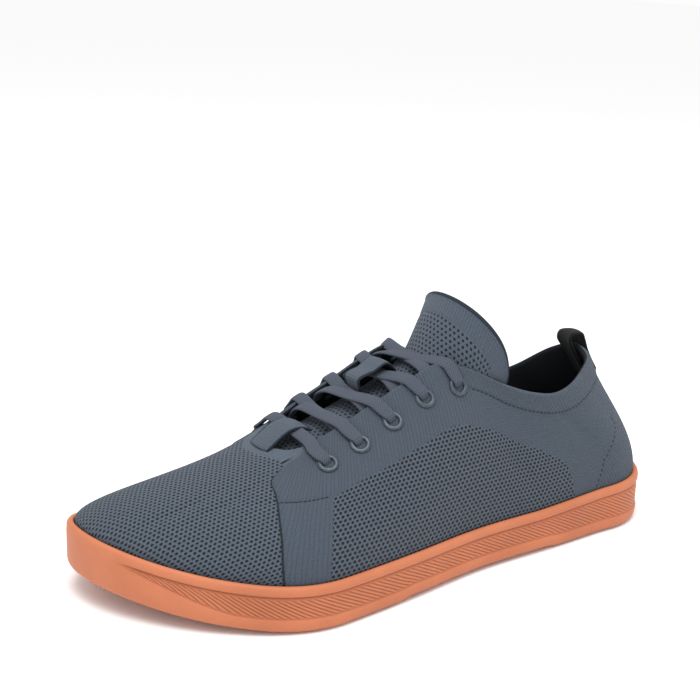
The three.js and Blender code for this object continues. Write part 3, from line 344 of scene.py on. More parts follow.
def section_length(u):
    """Length of a section from the lip to the opening."""
    return np.interp(np.mod(u, 1.0), SHARES, SECTION_WAY[:, -1])


def height_up(u, s):
    """Way up the section from the lip to s, in millimetres, between the grid's four nearest."""
    row = np.mod(u, 1.0) * (len(SHARES) - 1)
    low = np.clip(np.floor(row).astype(int), 0, len(SHARES) - 2)
    column = np.clip(s, 0, 1) * (len(LEVELS) - 1)
    left = np.clip(np.floor(column).astype(int), 0, len(LEVELS) - 2)
    a = row - low
    b = column - left
    near = SECTION_WAY[low, left] * (1 - b) + SECTION_WAY[low, left + 1] * b
    far = SECTION_WAY[low + 1, left] * (1 - b) + SECTION_WAY[low + 1, left + 1] * b
    return near * (1 - a) + far * a


# Meshes
SHIFT = np.array([
    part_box("outsole")[0][0] * 1000 - OUTLINE_LOOP[:, 0].min(),
    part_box("outsole")[0][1] * 1000 - OUTLINE_LOOP[:, 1].min(),
    0.0,
])


def in_frame(points):
    """The shoe's own millimetres as metres in the row's frame."""
    return (np.asarray(points, float) + SHIFT) / 1000


def make_mesh(name, points, faces, uvs=None, materials=(), face_material=None, values=None):
    """Object from points and four-cornered faces. uvs is one array of UV pairs for each face
    corner, or a table of them by name; values is a table of one number for each point. Faces
    with a repeated last corner become triangles."""
    mesh = bpy.data.meshes.new(name)
    points = in_frame(points)
    faces = np.asarray(faces, int)
    triangle = faces[:, 3] == faces[:, 2]
    counts = np.where(triangle, 3, 4)
    keep = np.ones(faces.shape, bool)
    keep[triangle, 3] = False
    corners = faces[keep]
    starts = np.concatenate([[0], np.cumsum(counts)[:-1]])
    mesh.vertices.add(len(points))
    mesh.vertices.foreach_set("co", points.ravel())
    mesh.loops.add(len(corners))
    mesh.loops.foreach_set("vertex_index", corners)
    mesh.polygons.add(len(faces))
    mesh.polygons.foreach_set("loop_start", starts)
    if uvs is not None:
        tables = uvs if isinstance(uvs, dict) else {"cloth": uvs}
        for label, table in tables.items():
            layer = mesh.uv_layers.new(name=label)
            layer.data.foreach_set("uv", np.asarray(table, float)[keep].ravel())
    for label, numbers in (values or {}).items():
        layer = mesh.attributes.new(label, "FLOAT", "POINT")
        layer.data.foreach_set("value", np.asarray(numbers, float).ravel())
    for material in materials:
        mesh.materials.append(material)
    if face_material is not None:
        mesh.polygons.foreach_set("material_index", np.asarray(face_material, int))
    mesh.polygons.foreach_set("use_smooth", np.ones(len(faces), bool))
    mesh.update(calc_edges=True)
    mesh.validate()
    obj = bpy.data.objects.new(name, mesh)
    bpy.context.scene.collection.objects.link(obj)
    return obj


def grid_faces(rows, columns, wrap_rows=False, wrap_columns=False, flip=False):
    """Four-cornered faces of a grid numbered row by row, with rows or columns closed round."""
    r = np.arange(rows if wrap_rows else rows - 1)
    c = np.arange(columns if wrap_columns else columns - 1)
    a, b = np.meshgrid(r, c, indexing="ij")
    after_row = (a + 1) % rows
    after_column = (b + 1) % columns
    corners = [a * columns + b, a * columns + after_column,
               after_row * columns + after_column, after_row * columns + b]
    faces = np.stack([k.ravel() for k in corners], 1)
    return faces[:, ::-1] if flip else faces


def grid_uvs(u, v, rows, columns, wrap_columns=False, flip=False):
    """UV pair of each face corner, from coordinates on a grid that is one column larger where
    it closes round."""
    a, b = np.meshgrid(np.arange(rows - 1), np.arange(columns if wrap_columns else columns - 1),
                       indexing="ij")
    pairs = [(a, b), (a, b + 1), (a + 1, b + 1), (a + 1, b)]
    uvs = np.stack([np.stack([u[i, j].ravel(), v[i, j].ravel()], -1) for i, j in pairs], 1)
    return uvs[:, ::-1] if flip else uvs


def seal(obj, distance):
    """Merges the doubled points where a surface closes on itself."""
    bm = bmesh.new()
    bm.from_mesh(obj.data)
    bmesh.ops.remove_doubles(bm, verts=bm.verts, dist=distance)
    bm.to_mesh(obj.data)
    bm.free()
    return obj


def catmull(points, count):
    """Smooth path through points: centripetal Catmull-Rom pieces, sampled evenly in number."""
    p = np.asarray(points, float)
    p = np.vstack([2 * p[0] - p[1], p, 2 * p[-1] - p[-2]])
    knots = np.concatenate([[0], np.cumsum(np.linalg.norm(np.diff(p, axis=0), axis=1) ** 0.5)])
    share = np.linspace(0, 1, count) * (len(p) - 3)
    i = np.clip(np.floor(share).astype(int), 0, len(p) - 4)
    t0, t1, t2, t3 = knots[i], knots[i + 1], knots[i + 2], knots[i + 3]
    t = (t1 + (share - i) * (t2 - t1))[:, None]
    t0, t1, t2, t3 = (k[:, None] for k in (t0, t1, t2, t3))
    p0, p1, p2, p3 = p[i], p[i + 1], p[i + 2], p[i + 3]
    a1 = (t1 - t) / (t1 - t0) * p0 + (t - t0) / (t1 - t0) * p1
    a2 = (t2 - t) / (t2 - t1) * p1 + (t - t1) / (t2 - t1) * p2
    a3 = (t3 - t) / (t3 - t2) * p2 + (t - t2) / (t3 - t2) * p3
    b1 = (t2 - t) / (t2 - t0) * a1 + (t - t0) / (t2 - t0) * a2
    b2 = (t3 - t) / (t3 - t1) * a2 + (t - t1) / (t3 - t1) * a3
    return (t2 - t) / (t2 - t1) * b1 + (t - t1) / (t2 - t1) * b2


# Shader building blocks
class Nodes:
    """Short way to add and join the nodes of one tree."""

    def __init__(self, tree):
        self.tree = tree

    def add(self, kind, **settings):
        node = self.tree.nodes.new(kind)
        for key, value in settings.items():
            setattr(node, key, value)
        return node

    def link(self, source, target):
        self.tree.links.new(source, target)

    def put(self, socket, value):
        if isinstance(value, bpy.types.NodeSocket):
            self.link(value, socket)
        else:
            socket.default_value = value

    def fill(self, node, *values):
        """Sets the node's first inputs and gives its first output."""
        for socket, value in zip(node.inputs, values):
            self.put(socket, value)
        return node.outputs[0]

    def math(self, operation, *values, clamp=False):
        return self.fill(self.add("ShaderNodeMath", operation=operation, use_clamp=clamp), *values)

    def less(self, a, b):
        return self.math("SUBTRACT", a, b)

    def over(self, a, b):
        return self.math("DIVIDE", a, b)

    def total(self, *parts):
        whole = parts[0]
        for part in parts[1:]:
            whole = self.math("ADD", whole, part)
        return whole

    def product(self, *parts):
        whole = parts[0]
        for part in parts[1:]:
            whole = self.math("MULTIPLY", whole, part)
        return whole

    def swing(self, value):
        """How far a value lies from the middle of its whole step."""
        return self.math("ABSOLUTE", self.less(self.math("FRACT", value), 0.5))

    def split(self, value):
        node = self.add("ShaderNodeSeparateXYZ")
        self.link(value, node.inputs[0])
        return node.outputs

    def join(self, x, y):
        return self.fill(self.add("ShaderNodeCombineXYZ"), x, y)

    def between(self, value, low, high, out_low=0.0, out_high=1.0):
        node = self.add("ShaderNodeMapRange", interpolation_type="SMOOTHSTEP")
        return self.fill(node, value, low, high, out_low, out_high)

    def by_name(self, node, output, **inputs):
        """Sets inputs by their names and gives one output, or all of them."""
        for key, value in inputs.items():
            self.put(node.inputs[key], value)
        return node.outputs if output is None else node.outputs[output]

    def noise(self, place, scale, detail=2.0, rough=0.5):
        return self.by_name(self.add("ShaderNodeTexNoise"), "Fac",
                            Vector=place, Scale=scale, Detail=detail, Roughness=rough)

    def mix(self, share, a, b):
        a, b = (k if isinstance(k, bpy.types.NodeSocket) else (*k, 1) for k in (a, b))
        return self.by_name(self.add("ShaderNodeMix", data_type="RGBA"), "Result",
                            Factor=share, A=a, B=b)

    def group(self, tree, **inputs):
        return self.by_name(self.add("ShaderNodeGroup", node_tree=tree), None, **inputs)

    def bump(self, height, distance, strength):
        return self.by_name(self.add("ShaderNodeBump"), 0,
                            Strength=strength, Distance=distance, Height=height)

    def cloth_uv(self, name="cloth"):
        return self.add("ShaderNodeUVMap", uv_map=name).outputs[0]

    def value_of(self, name):
        return self.add("ShaderNodeAttribute", attribute_name=name).outputs["Fac"]

    def place(self):
        """Place on the object in millimetres."""
        node = self.add("ShaderNodeVectorMath", operation="MULTIPLY")
        return self.fill(node, self.add("ShaderNodeTexCoord").outputs["Object"], (1000,) * 3)


def new_group(name, inputs, outputs):
    """Empty shader group with float or vector sockets."""
    tree = bpy.data.node_groups.new(name, "ShaderNodeTree")
    for label, kind, value in inputs:
        socket = tree.interface.new_socket(label, in_out="INPUT", socket_type=kind)
        if value is not None:
            socket.default_value = value
    for label, kind in outputs:
        tree.interface.new_socket(label, in_out="OUTPUT", socket_type=kind)
    nodes = Nodes(tree)
    ins = nodes.add("NodeGroupInput").outputs
    outs = nodes.add("NodeGroupOutput").inputs
    return tree, nodes, ins, outs


VECTOR = "NodeSocketVector"
FLOAT = "NodeSocketFloat"


def hole_group():
    """Staggered knit holes in millimetres: every second row is moved half a pitch. Puts out how
    much of a hole a point lies in, and the height of the yarn round it."""
    tree, n, ins, outs = new_group(
        "knit holes",
        [("Place", VECTOR, None), ("Pitch", FLOAT, 2.3), ("Row", FLOAT, 1.9), ("Hole", FLOAT, 0.6)],
        [("Hole", FLOAT), ("Height", FLOAT)])
    x, y, _ = n.split(ins["Place"])
    wander = n.noise(ins["Place"], 0.35, 1.0)
    shift = n.product(n.less(wander, 0.5), 0.4)
    row = n.over(n.total(y, shift), ins["Row"])
    stagger = n.product(n.math("MODULO", n.math("FLOOR", row), 2.0), 0.5)
    column = n.total(n.over(n.total(x, shift), ins["Pitch"]), stagger)
    dx = n.product(n.less(n.math("FRACT", column), 0.5), ins["Pitch"])
    dy = n.product(n.less(n.math("FRACT", row), 0.5), ins["Row"])
    far = n.math("SQRT", n.total(n.product(dx, dx), n.product(dy, dy, 1.35)))
    rough = n.product(n.noise(ins["Place"], 2.2, 2.0), 0.35)
    far = n.total(far, n.less(rough, 0.17))
    low = n.product(ins["Hole"], 0.72)
    high = n.product(ins["Hole"], 1.22)
    hole = n.between(far, low, high, 1.0, 0.0)
    n.link(hole, outs["Hole"])
    n.link(n.less(1.0, hole), outs["Height"])
    return tree


def rib_group():
    """Ribs in millimetres across x: a rounded wave with a narrow valley, wandering a little."""
    tree, n, ins, outs = new_group(
        "knit ribs",
        [("Place", VECTOR, None), ("Pitch", FLOAT, 1.9), ("Valley", FLOAT, 0.35)],
        [("Valley", FLOAT), ("Height", FLOAT)])
    x, y, _ = n.split(ins["Place"])
    wander = n.noise(n.join(n.product(x, 0.3), n.product(y, 0.06)), 1.0, 1.0)
    place = n.total(n.over(x, ins["Pitch"]), n.product(n.less(wander, 0.5), 0.8))
    slope = n.math("SUBTRACT", 1.0, n.product(n.swing(place), 2.0), clamp=True)
    height = n.math("SQRT", slope)
    n.link(height, outs["Height"])
    n.link(n.between(height, 0.0, ins["Valley"], 1.0, 0.0), outs["Valley"])
    return tree


def yarn_group():
    """Small knit loops in millimetres: slanted waves that mirror at every column, with noise."""
    tree, n, ins, outs = new_group(
        "yarn",
        [("Place", VECTOR, None), ("Loop", FLOAT, 0.85)],
        [("Height", FLOAT), ("Shade", FLOAT)])
    x, y, _ = n.split(ins["Place"])
    mirror = n.swing(n.over(x, ins["Loop"]))
    row = n.total(n.over(y, n.product(ins["Loop"], 0.8)), n.product(mirror, 1.4))
    fuzz = n.noise(ins["Place"], 3.0, 3.0, 0.7)
    fleck = n.noise(ins["Place"], 1.3, 2.0, 0.6)
    n.link(n.total(n.product(n.less(0.5, n.swing(row)), 1.2), n.product(fuzz, 0.6)), outs["Height"])
    n.link(n.total(n.product(fuzz, 0.75), n.product(fleck, 0.42)), outs["Shade"])
    return tree


HOLES = hole_group()
RIBS = rib_group()
YARN = yarn_group()


def new_material(name, roughness=0.8, metallic=0.0):
    """Material with its shader, and the node helper for its tree."""
    material = bpy.data.materials.new(name)
    material.use_nodes = True
    nodes = Nodes(material.node_tree)
    shader = material.node_tree.nodes["Principled BSDF"]
    shader.inputs["Roughness"].default_value = roughness
    shader.inputs["Metallic"].default_value = metallic
    return material, nodes, shader


# Cloth materials
YARN_DARK = (0.026, 0.036, 0.050)
YARN_MAIN = (0.065, 0.085, 0.113)
YARN_LIGHT = (0.122, 0.152, 0.192)
# Black of the lining seen through knit holes, also used as painted shade in rib valleys
LINING_AND_SHADE_BLACK = (0.004, 0.005, 0.006)
# Painted shade for the groove along the vamp seam
SEAM_GROOVE_SHADE = (0.010, 0.013, 0.018)


def knit_colour(n, shade, valley, depth):
    """Blue-grey yarn: darker or lighter with the shade value, the yarn's own tone, and nearly
    black where valley is high: the black lining in knit holes, and painted shade in rib valleys.
    """
    colour = n.mix(n.between(shade, 0.38, 0.82), YARN_DARK, YARN_LIGHT)
    colour = n.mix(0.45, colour, YARN_MAIN)
    return n.mix(n.product(valley, depth), colour, LINING_AND_SHADE_BLACK)


def dress_cloth(n, shader, colour, height, depth, strength, sheen=0.08):
    """Dull cloth: its colour, its relief of a depth in metres, hardly any mirror light and a
    faint sheen."""
    n.link(colour, shader.inputs["Base Color"])
    n.link(n.bump(height, depth, strength), shader.inputs["Normal"])
    shader.inputs["Specular IOR Level"].default_value = 0.12
    shader.inputs["Sheen Weight"].default_value = sheen
    shader.inputs["Sheen Roughness"].default_value = 0.6


def upper_knit():
    """The whole knit of the upper. Point values tell how far a point lies inside each panel, and
    the panels mix the patterns: holes on the vamp and the quarter, ribs on the band, the collar
    and the back, and fine cross lines on the heel panel."""
    material, n, shader = new_material("upper knit", 0.88)
    side = n.cloth_uv("cloth")
    toe = n.cloth_uv("toe")
    x, y, _ = n.split(side)
    from_seam = n.value_of("from_seam")
    vamp = n.between(from_seam, -0.25, 0.15, 1.0, 0.0)
    behind = n.less(1.0, vamp)
    rest = behind
    panels = {}
    for label, soft_low, soft_high in [("collar_in", -0.25, 0.25), ("mesh_in", -0.5, 0.5),
                                       ("heel_in", -0.4, 0.4), ("rib_in", -6.0, 2.0)]:
        panels[label] = n.product(n.between(n.value_of(label), soft_low, soft_high), rest)
        rest = n.less(rest, panels[label])
    collar, quarter, heel, ribbed = panels.values()
    off_edge = n.between(n.value_of("from_edge"), 5.0, 7.5)

    yarns = [(n.group(YARN, Place=toe, Loop=0.8), vamp), (n.group(YARN, Place=side, Loop=0.75), behind)]
    meshes = [
        (n.group(HOLES, Place=toe, Pitch=2.05, Row=1.75, Hole=0.62), n.product(vamp, off_edge)),
        (n.group(HOLES, Place=side, Pitch=2.3, Row=1.8, Hole=0.74), quarter),
    ]
    slanted = n.join(n.total(x, n.product(y, 0.35)), y)
    # Pattern, where it lies, how much shade is painted in its valleys, and its relief
    ribs = [
        (n.group(RIBS, Place=side, Pitch=1.85, Valley=0.45), ribbed, 0.6, 0.8),
        (n.group(RIBS, Place=n.cloth_uv("rim"), Pitch=1.5, Valley=0.5), collar, 0.6, 0.9),
        (n.group(RIBS, Place=slanted, Pitch=1.7, Valley=0.45), heel, 0.55, 0.8),
        (n.group(RIBS, Place=n.join(y, x), Pitch=1.05, Valley=0.5), rest, 0.3, 0.5),
    ]
    shade = n.total(*(n.product(yarn["Shade"], where) for yarn, where in yarns))
    holes = n.total(*(n.product(mesh["Hole"], where) for mesh, where in meshes))
    # Painted shade: the rib valleys are darkened towards black
    valleys = n.total(*(n.product(rib["Valley"], where, depth) for rib, where, depth, _ in ribs))
    height = n.total(*(n.product(mesh["Height"], where, 1.1) for mesh, where in meshes),
                     *(n.product(rib["Height"], where, relief) for rib, where, _, relief in ribs),
                     *(n.product(yarn["Height"], where, 0.3) for yarn, where in yarns))
    colour = knit_colour(n, shade, valleys, 1.0)
    smooth = n.total(*(where for _, where, _, _ in ribs))
    colour = n.mix(n.product(smooth, 0.3), colour, YARN_DARK)
    colour = n.mix(n.product(holes, 0.97), colour, LINING_AND_SHADE_BLACK)
    # Painted shade along the groove of the vamp seam
    gap = n.math("ABSOLUTE", n.total(from_seam, 0.35))
    seam = n.between(gap, 0.25, 0.85, 0.9, 0.0)
    colour = n.mix(n.product(seam, off_edge), colour, SEAM_GROOVE_SHADE)
    dress_cloth(n, shader, colour, height, 0.0006, 0.9)
    return material


def mesh_knit(name, pitch, row, hole, depth=0.92):
    """Knit with rows of small holes that show the black lining."""
    material, n, shader = new_material(name, 0.85)
    place = n.cloth_uv()
    holes = n.group(HOLES, Place=place, Pitch=pitch, Row=row, Hole=hole)
    yarn = n.group(YARN, Place=place, Loop=0.8)
    height = n.total(holes["Height"], n.product(yarn["Height"], 0.25))
    colour = knit_colour(n, yarn["Shade"], holes["Hole"], depth)
    dress_cloth(n, shader, colour, height, 0.0006, 0.9)
    return material


def rib_knit(name, pitch, valley, depth):
    """Ribbed knit with shaded valleys."""
    material, n, shader = new_material(name, 0.85)
    place = n.cloth_uv()
    ribs = n.group(RIBS, Place=place, Pitch=pitch, Valley=valley)
    yarn = n.group(YARN, Place=place, Loop=0.75)
    height = n.total(ribs["Height"], n.product(yarn["Height"], 0.35))
    colour = knit_colour(n, yarn["Shade"], ribs["Valley"], depth)
    dress_cloth(n, shader, colour, height, 0.0005, 0.8)
    return material


def dark_cloth(name, colour, loop=0.9):
    """Black lining, thread or footbed cloth with a fine weave."""
    material, n, shader = new_material(name, 0.9)
    yarn = n.group(YARN, Place=n.cloth_uv(), Loop=loop)
    light = tuple(c * 2.4 for c in colour)
    shade = n.mix(n.between(yarn["Shade"], 0.3, 0.9), colour, light)
    dress_cloth(n, shader, shade, yarn["Height"], 0.0003, 0.6, 0.02)
    return material


def webbing_cloth():
    """Black webbing: two rows of slanted yarns in each rib."""
    material, n, shader = new_material("webbing", 0.8)
    x, y, _ = n.split(n.cloth_uv())
    fold = n.swing(n.over(x, 2.2))
    wave = n.swing(n.total(n.over(y, 0.9), n.product(fold, 2.0)))
    height = n.less(1.0, wave)
    colour = n.mix(n.between(height, 0.5, 1.0), (0.0025, 0.003, 0.0035), (0.008, 0.009, 0.011))
    dress_cloth(n, shader, colour, height, 0.0004, 0.8, 0.05)
    return material


def lace_cloth():
    """Flat braid: slanted yarns that mirror at the middle and again near the edges."""
    material, n, shader = new_material("lace braid", 0.75)
    place = n.cloth_uv()
    x, y, _ = n.split(place)
    fold = n.swing(n.over(y, 1.5))
    wave = n.swing(n.total(n.over(x, 1.15), n.product(fold, 1.6)))
    height = n.less(1.0, n.product(2.0, wave))
    fuzz = n.noise(place, 2.5, 3.0, 0.6)
    shade = n.total(n.product(height, 0.6), n.product(fuzz, 0.4))
    colour = n.mix(n.between(shade, 0.1, 0.9), (0.034, 0.041, 0.056), (0.086, 0.102, 0.134))
    dress_cloth(n, shader, colour, height, 0.0003, 0.7, 0.05)
    return material


def gum_rubber():
    """Gum rubber: warm orange with faint cloudy change and fine grain, and painted shade that darkens its
    grooves.
    """
    material, n, shader = new_material("gum rubber", 0.5)
    place = n.place()
    cloud = n.noise(place, 0.03, 3.0, 0.6)
    speck = n.noise(place, 1.8, 2.0, 0.6)
    colour = n.mix(n.between(cloud, 0.3, 0.7), (0.440, 0.138, 0.061), (0.500, 0.163, 0.076))
    colour = n.mix(n.product(n.between(speck, 0.55, 0.8), 0.12), colour, (0.72, 0.34, 0.19))
    # Painted shade: the groove value darkens the tread's grooves, the side's rib valleys and the groove
    # under the lip
    groove = n.math("POWER", n.value_of("groove"), 1.5)
    colour = n.mix(n.product(groove, 0.62), colour, (0.200, 0.050, 0.020))
    n.link(colour, shader.inputs["Base Color"])
    n.link(n.between(cloud, 0.2, 0.8, 0.5, 0.62), shader.inputs["Roughness"])
    n.link(n.bump(speck, 0.0001, 0.35), shader.inputs["Normal"])
    shader.inputs["Specular IOR Level"].default_value = 0.3
    return material


def eyelet_enamel():
    """Grey-blue enamel with faint specks."""
    material, n, shader = new_material("eyelet enamel", 0.38, 0.35)
    speck = n.noise(n.place(), 0.8, 3.0, 0.6)
    colour = n.mix(n.between(speck, 0.3, 0.7), (0.036, 0.047, 0.062), (0.066, 0.082, 0.104))
    n.link(colour, shader.inputs["Base Color"])
    n.link(n.bump(speck, 0.0001, 0.3), shader.inputs["Normal"])
    return material


RUBBER = gum_rubber()
UPPER_KNIT = upper_knit()
TONGUE_MESH = mesh_knit("tongue mesh knit", 2.5, 2.05, 0.66)
COLLAR_RIBS = rib_knit("border rib knit", 1.5, 0.45, 0.5)
STRAP_KNIT = mesh_knit("strap knit", 1.3, 1.15, 0.3, 0.6)
LINING = dark_cloth("black lining", (0.006, 0.007, 0.009))
THREAD = dark_cloth("dark thread", (0.012, 0.016, 0.022), 0.5)
FOOTBED = dark_cloth("footbed cloth", (0.010, 0.011, 0.013))
WEBBING = webbing_cloth()
LACE = lace_cloth()
ENAMEL = eyelet_enamel()


# Sole
def tread_depth(x, y):
    """Depth of the tread's grooves at points of the sole: 0 on the lugs. Zigzag ridges lie at
    the toe and the heel, and rows of two-pointed darts, which face each other, between them."""

    def inside(distance):
        return ramp(-distance, -TREAD_SOFT, TREAD_SOFT)

    swing = ZIGZAG_SWING * (0.5 - 2 * np.abs(np.mod(y / DART_COLUMN, 1.0) - 0.5))

    def zigzags(first, sense):
        way = (x - swing - first) * sense
        row = np.clip(np.round(way / ZIGZAG_PITCH), 0, ZIGZAG_ROWS - 1)
        return inside(np.abs(way - row * ZIGZAG_PITCH) * ZIGZAG_COS - ZIGZAG_RIDGE / 2)

    ends = RIM + ZIGZAG_FIRST * ZIGZAG_PITCH
    raised = np.maximum(zigzags(ends, 1), zigzags(LENGTH - ends, -1))
    heel_end = RIM + (ZIGZAG_ROWS - 0.5) * ZIGZAG_PITCH
    room = LENGTH - 2 * heel_end
    rows = int(room / DART_PITCH)
    first = heel_end + (room - rows * DART_PITCH) / 2
    barb_x, barb_y = DART_BARB[0] * DART_PITCH, DART_BARB[1] * DART_COLUMN
    notch = DART_NOTCH * DART_PITCH

    def dart(px, py):
        """Signed distance to a dart whose tip is at 0, 0."""
        side = np.abs(py)
        outer = (side * barb_x - px * barb_y) / math.hypot(barb_x, barb_y)
        inner = barb_x - notch
        back = ((px - notch) * barb_y - side * inner) / math.hypot(inner, barb_y)
        return np.maximum(outer, back)

    for turn, ahead, aside in ((1, 0.0, 0.5), (-1, DART_FACING, 0.0)):
        for offset in (-1, 0):
            row = np.floor((x - first) / DART_PITCH) + offset
            px = (x - first - (row + ahead) * DART_PITCH) * turn
            py = (np.mod(y / DART_COLUMN + aside, 1.0) - 0.5) * DART_COLUMN
            raised = np.maximum(raised, inside(dart(px, py)) * ((row >= 0) & (row < rows)))
    return LUG_DEPTH * (1 - raised)


RIB_SHAPE = np.array([0.0, 0.92, 1.0, 0.92])  # height over the columns of one rib
RIB_RINGS = 14
TREAD_RINGS = 50


def rib_fade(x):
    """1 along the ribbed side, 0 round the toe and at the very back of the heel."""
    return ramp(x / LENGTH, *RIBS_OPEN) * (1 - ramp(x / LENGTH, *RIBS_CLOSE))


def recess_at(x):
    """1 where the ribbed side lies back from the lip and the rim, 0 at both tips."""
    return (1 - ramp(x / LENGTH, *RECESS_CLOSES)) * ramp(x / LENGTH, *RECESS_OPENS)


def band_lines(x):
    """Lower and upper line of the ribbed side: level, then closing to the lip near the toe."""
    low = ground_at(x) + BAND + 0.8
    high = lip_top_at(x) - LIP - 1.0
    return low + (high - low) * ramp(x / LENGTH, *BAND_CLOSES), high


def toward_spine(u, inset, share):
    """Points on the way from an inset outline to the sole's middle line, which ends short of
    both tips."""
    rim = outline_at(u, inset)[0]
    reach = np.clip(outline_at(u)[0][:, 0], SPINE_END, LENGTH - SPINE_END)
    spine = np.stack([reach, centre_line(reach / LENGTH)], 1)
    return rim + (spine - rim) * share


SPINE_END = RIM * 2.2
# Side of the sole: inset, height, and what it is measured from. Low and high are the lines of
# the ribbed side, and an inset with recess 1 closes up where the ribbed side does
SIDE_PROFILE = [
    (RIM, LUG_DEPTH, "ground", 0),
    (RIM - 0.35, RIM_CLEAR + 0.3, "ground", 0),
    (RIM - 0.9, RIM_CLEAR, "ground", 0),
    (TUCK + 3, RIM_CLEAR, "ground", 0),
    (TUCK + 0.9, RIM_CLEAR + 0.05, "ground", 0),
    (TUCK, RIM_CLEAR + 0.35, "ground", 0),
    (TUCK * 0.5, 1.3, "ground", 0),
    (TUCK * 0.2, 2.4, "ground", 0),
    (0.08, 4.0, "ground", 0),
    (0.0, -1.0, "low", 0),
    (0.3, -0.45, "low", 1),
    (0.85, -0.1, "low", 1),
]
LIP_PROFILE = [
    (1.0, 0.1, "high", 1),
    (1.4, 0.45, "high", 1),
    (1.35, 0.75, "high", 1),
    (0.5, -LIP + 0.1, "lip", 1),
    (0.15, -LIP + 0.55, "lip", 0),
    (0.1, -2.2, "lip", 0),
    (0.4, -1.1, "lip", 0),
    (0.95, -0.35, "lip", 0),
    (1.6, -0.02, "lip", 0),
    (2.4, -0.05, "lip", 0),
    (CUP_WALL - 0.3, -0.35, "lip", 0),
    (CUP_WALL, -0.9, "lip", 0),
    (CUP_WALL, -3.0, "lip", 0),
    (CUP_WALL, PLATE, "ground", 0),
]


def outsole_piece():
    """One closed skin: rings of the side profile round the outline, rings of the tread from
    the rim to the middle line, and the footbed inside the cup. Where the side is ribbed, each
    ring is moved round the shoe with its height, so that the mesh's columns lie along the
    slanted ribs and one column lies in every valley. The groove value is painted shade in the
    valleys, the tread's grooves and the groove under the lip."""
    base_u = round_shares(RIBS_A_SIDE * RIB_COLUMNS)
    count = len(base_u)
    sense = np.where(base_u < HEEL_SHARE, 1.0, -1.0)
    to_tip = np.minimum(np.minimum(base_u, 1 - base_u), np.abs(base_u - HEEL_SHARE)) * AROUND
    slant = RIB_SLANT * ramp(to_tip, 2, 45)
    column_x = outline_at(base_u)[0][:, 0]
    middle = (ground_at(column_x) + lip_top_at(column_x)) / 2
    low0, high0 = band_lines(column_x)
    rings = []
    grooves = []

    def shifted(height):
        return np.mod(base_u - sense * slant * (height - middle) / AROUND, 1.0)

    # Each ring's groove value is painted shade for the rubber
    def add(points, z, groove=0.0):
        rings.append(np.column_stack([points, z]))
        grooves.append(groove * np.ones(count))

    def side_rings(u, profile):
        x = outline_at(u)[0][:, 0]
        low, high = band_lines(x)
        levels = {"ground": ground_at(x), "lip": lip_top_at(x), "low": low, "high": high}
        for inset, up, name, closes in profile:
            share = recess_at(x) if closes else 1.0
            # Painted shade in the groove under the lip
            deep = name == "high" and inset > 1.2
            add(outline_at(u, inset * share)[0], levels[name] + up, share * deep)

    u_low = shifted(low0)
    for share in np.linspace(1, 0, TREAD_RINGS)[:-1]:
        p = toward_spine(u_low, RIM, share)
        t = np.clip(p[:, 0] / LENGTH, 0, 1)
        slack = half_width(t) - np.abs(p[:, 1] - centre_line(p[:, 0] / LENGTH))
        fade = ramp(slack, RIM - 0.5, RIM + 0.6)
        depth = tread_depth(p[:, 0], p[:, 1])
        add(p, ground_at(p[:, 0]) + LUG_DEPTH + (depth - LUG_DEPTH) * fade, 0.5 * depth / LUG_DEPTH * fade)
    side_rings(u_low, SIDE_PROFILE)
    rib = np.tile(RIB_SHAPE, count // RIB_COLUMNS)
    for level in np.linspace(0.03, 0.97, RIB_RINGS):
        u = shifted(low0 + (high0 - low0) * level)
        x = outline_at(u)[0][:, 0]
        low, high = band_lines(x)
        fade = rib_fade(x)
        ends = ramp(level, 0.0, 0.08) * (1 - ramp(level, 0.92, 1.0))
        inset = RIB_DEPTH * (1.15 - 0.75 * rib * fade * ends - 0.25 * (1 - fade))
        add(outline_at(u, inset * recess_at(x))[0], low + (high - low) * level, (rib == 0) * fade * ends)
    u_high = shifted(high0)
    side_rings(u_high, LIP_PROFILE)
    for share in (0.25, 0.6, 1.0):
        p = toward_spine(u_high, CUP_WALL, share)
        add(p, ground_at(p[:, 0]) + PLATE)
    faces = grid_faces(len(rings), count, wrap_columns=True)
    piece = make_mesh("outsole_rubber", np.concatenate(rings), faces, materials=[RUBBER],
                      values={"groove": np.concatenate(grooves)})
    return seal(piece, 2e-6)


# Upper
# Vamp seam, edge of the side's mesh, and heel line: shares round the foot against ways up the
# section, or down from the opening for the mesh
SEAM_UP = [-30, 2.6, 23.8, 42.0, 50.4, 58.0, 66.0, 90.0]
SEAM_SHARE = [0.149, 0.146, 0.138, 0.122, 0.109, 0.114, 0.136, 0.150]
MESH_TOP_AT = [0.16, 0.175, 0.2, 0.229, 0.258, 0.292, 0.333, 0.371, 0.392, 0.397, 0.42]
MESH_TOP = [36.0, 35.0, 32.0, 31.0, 29.4, 27.9, 27.6, 31.0, 38.0, 60.0, 90.0]
BAND_TOP = 37.0  # height of the stitched line across the ribbed band
BAND_END = 0.176
HEEL_LINE_UP = [-30, 1.0, 15.3, 31.0, 80.0]
HEEL_LINE = [0.416, 0.417, 0.429, 0.463, 0.478]


def side_share(u):
    """The share round the foot counted from the toe on either side."""
    u = np.mod(u, 1.0)
    return np.where(u <= HEEL_SHARE, u, (1 - u) * HEEL_SHARE / (1 - HEEL_SHARE))


def seam_share(up):
    """Where the vamp seam runs, as a share round the foot for a height up the section."""
    return hermite(np.clip(up, -30, 90), SEAM_UP, SEAM_SHARE)


def panel_values(w, up, down):
    """How far a point lies inside each panel, in millimetres, from the side share, the way up
    from the lip and the way down from the opening's edge."""
    top = np.interp(w, MESH_TOP_AT, MESH_TOP)
    return {
        "from_seam": (w - seam_share(up)) * AROUND,
        "mesh_in": np.minimum(down - top, (w - BAND_END) * AROUND),
        "from_edge": down,
        "heel_in": (w - np.interp(up, HEEL_LINE_UP, HEEL_LINE)) * AROUND,
        "rib_in": (EYESTAY_END - w) * AROUND,
        "collar_in": np.minimum(COLLAR_BAND - down, (w - COLLAR_FROM) * AROUND),
    }


UPPER_HALF = 305  # columns of the upper's mesh on each side

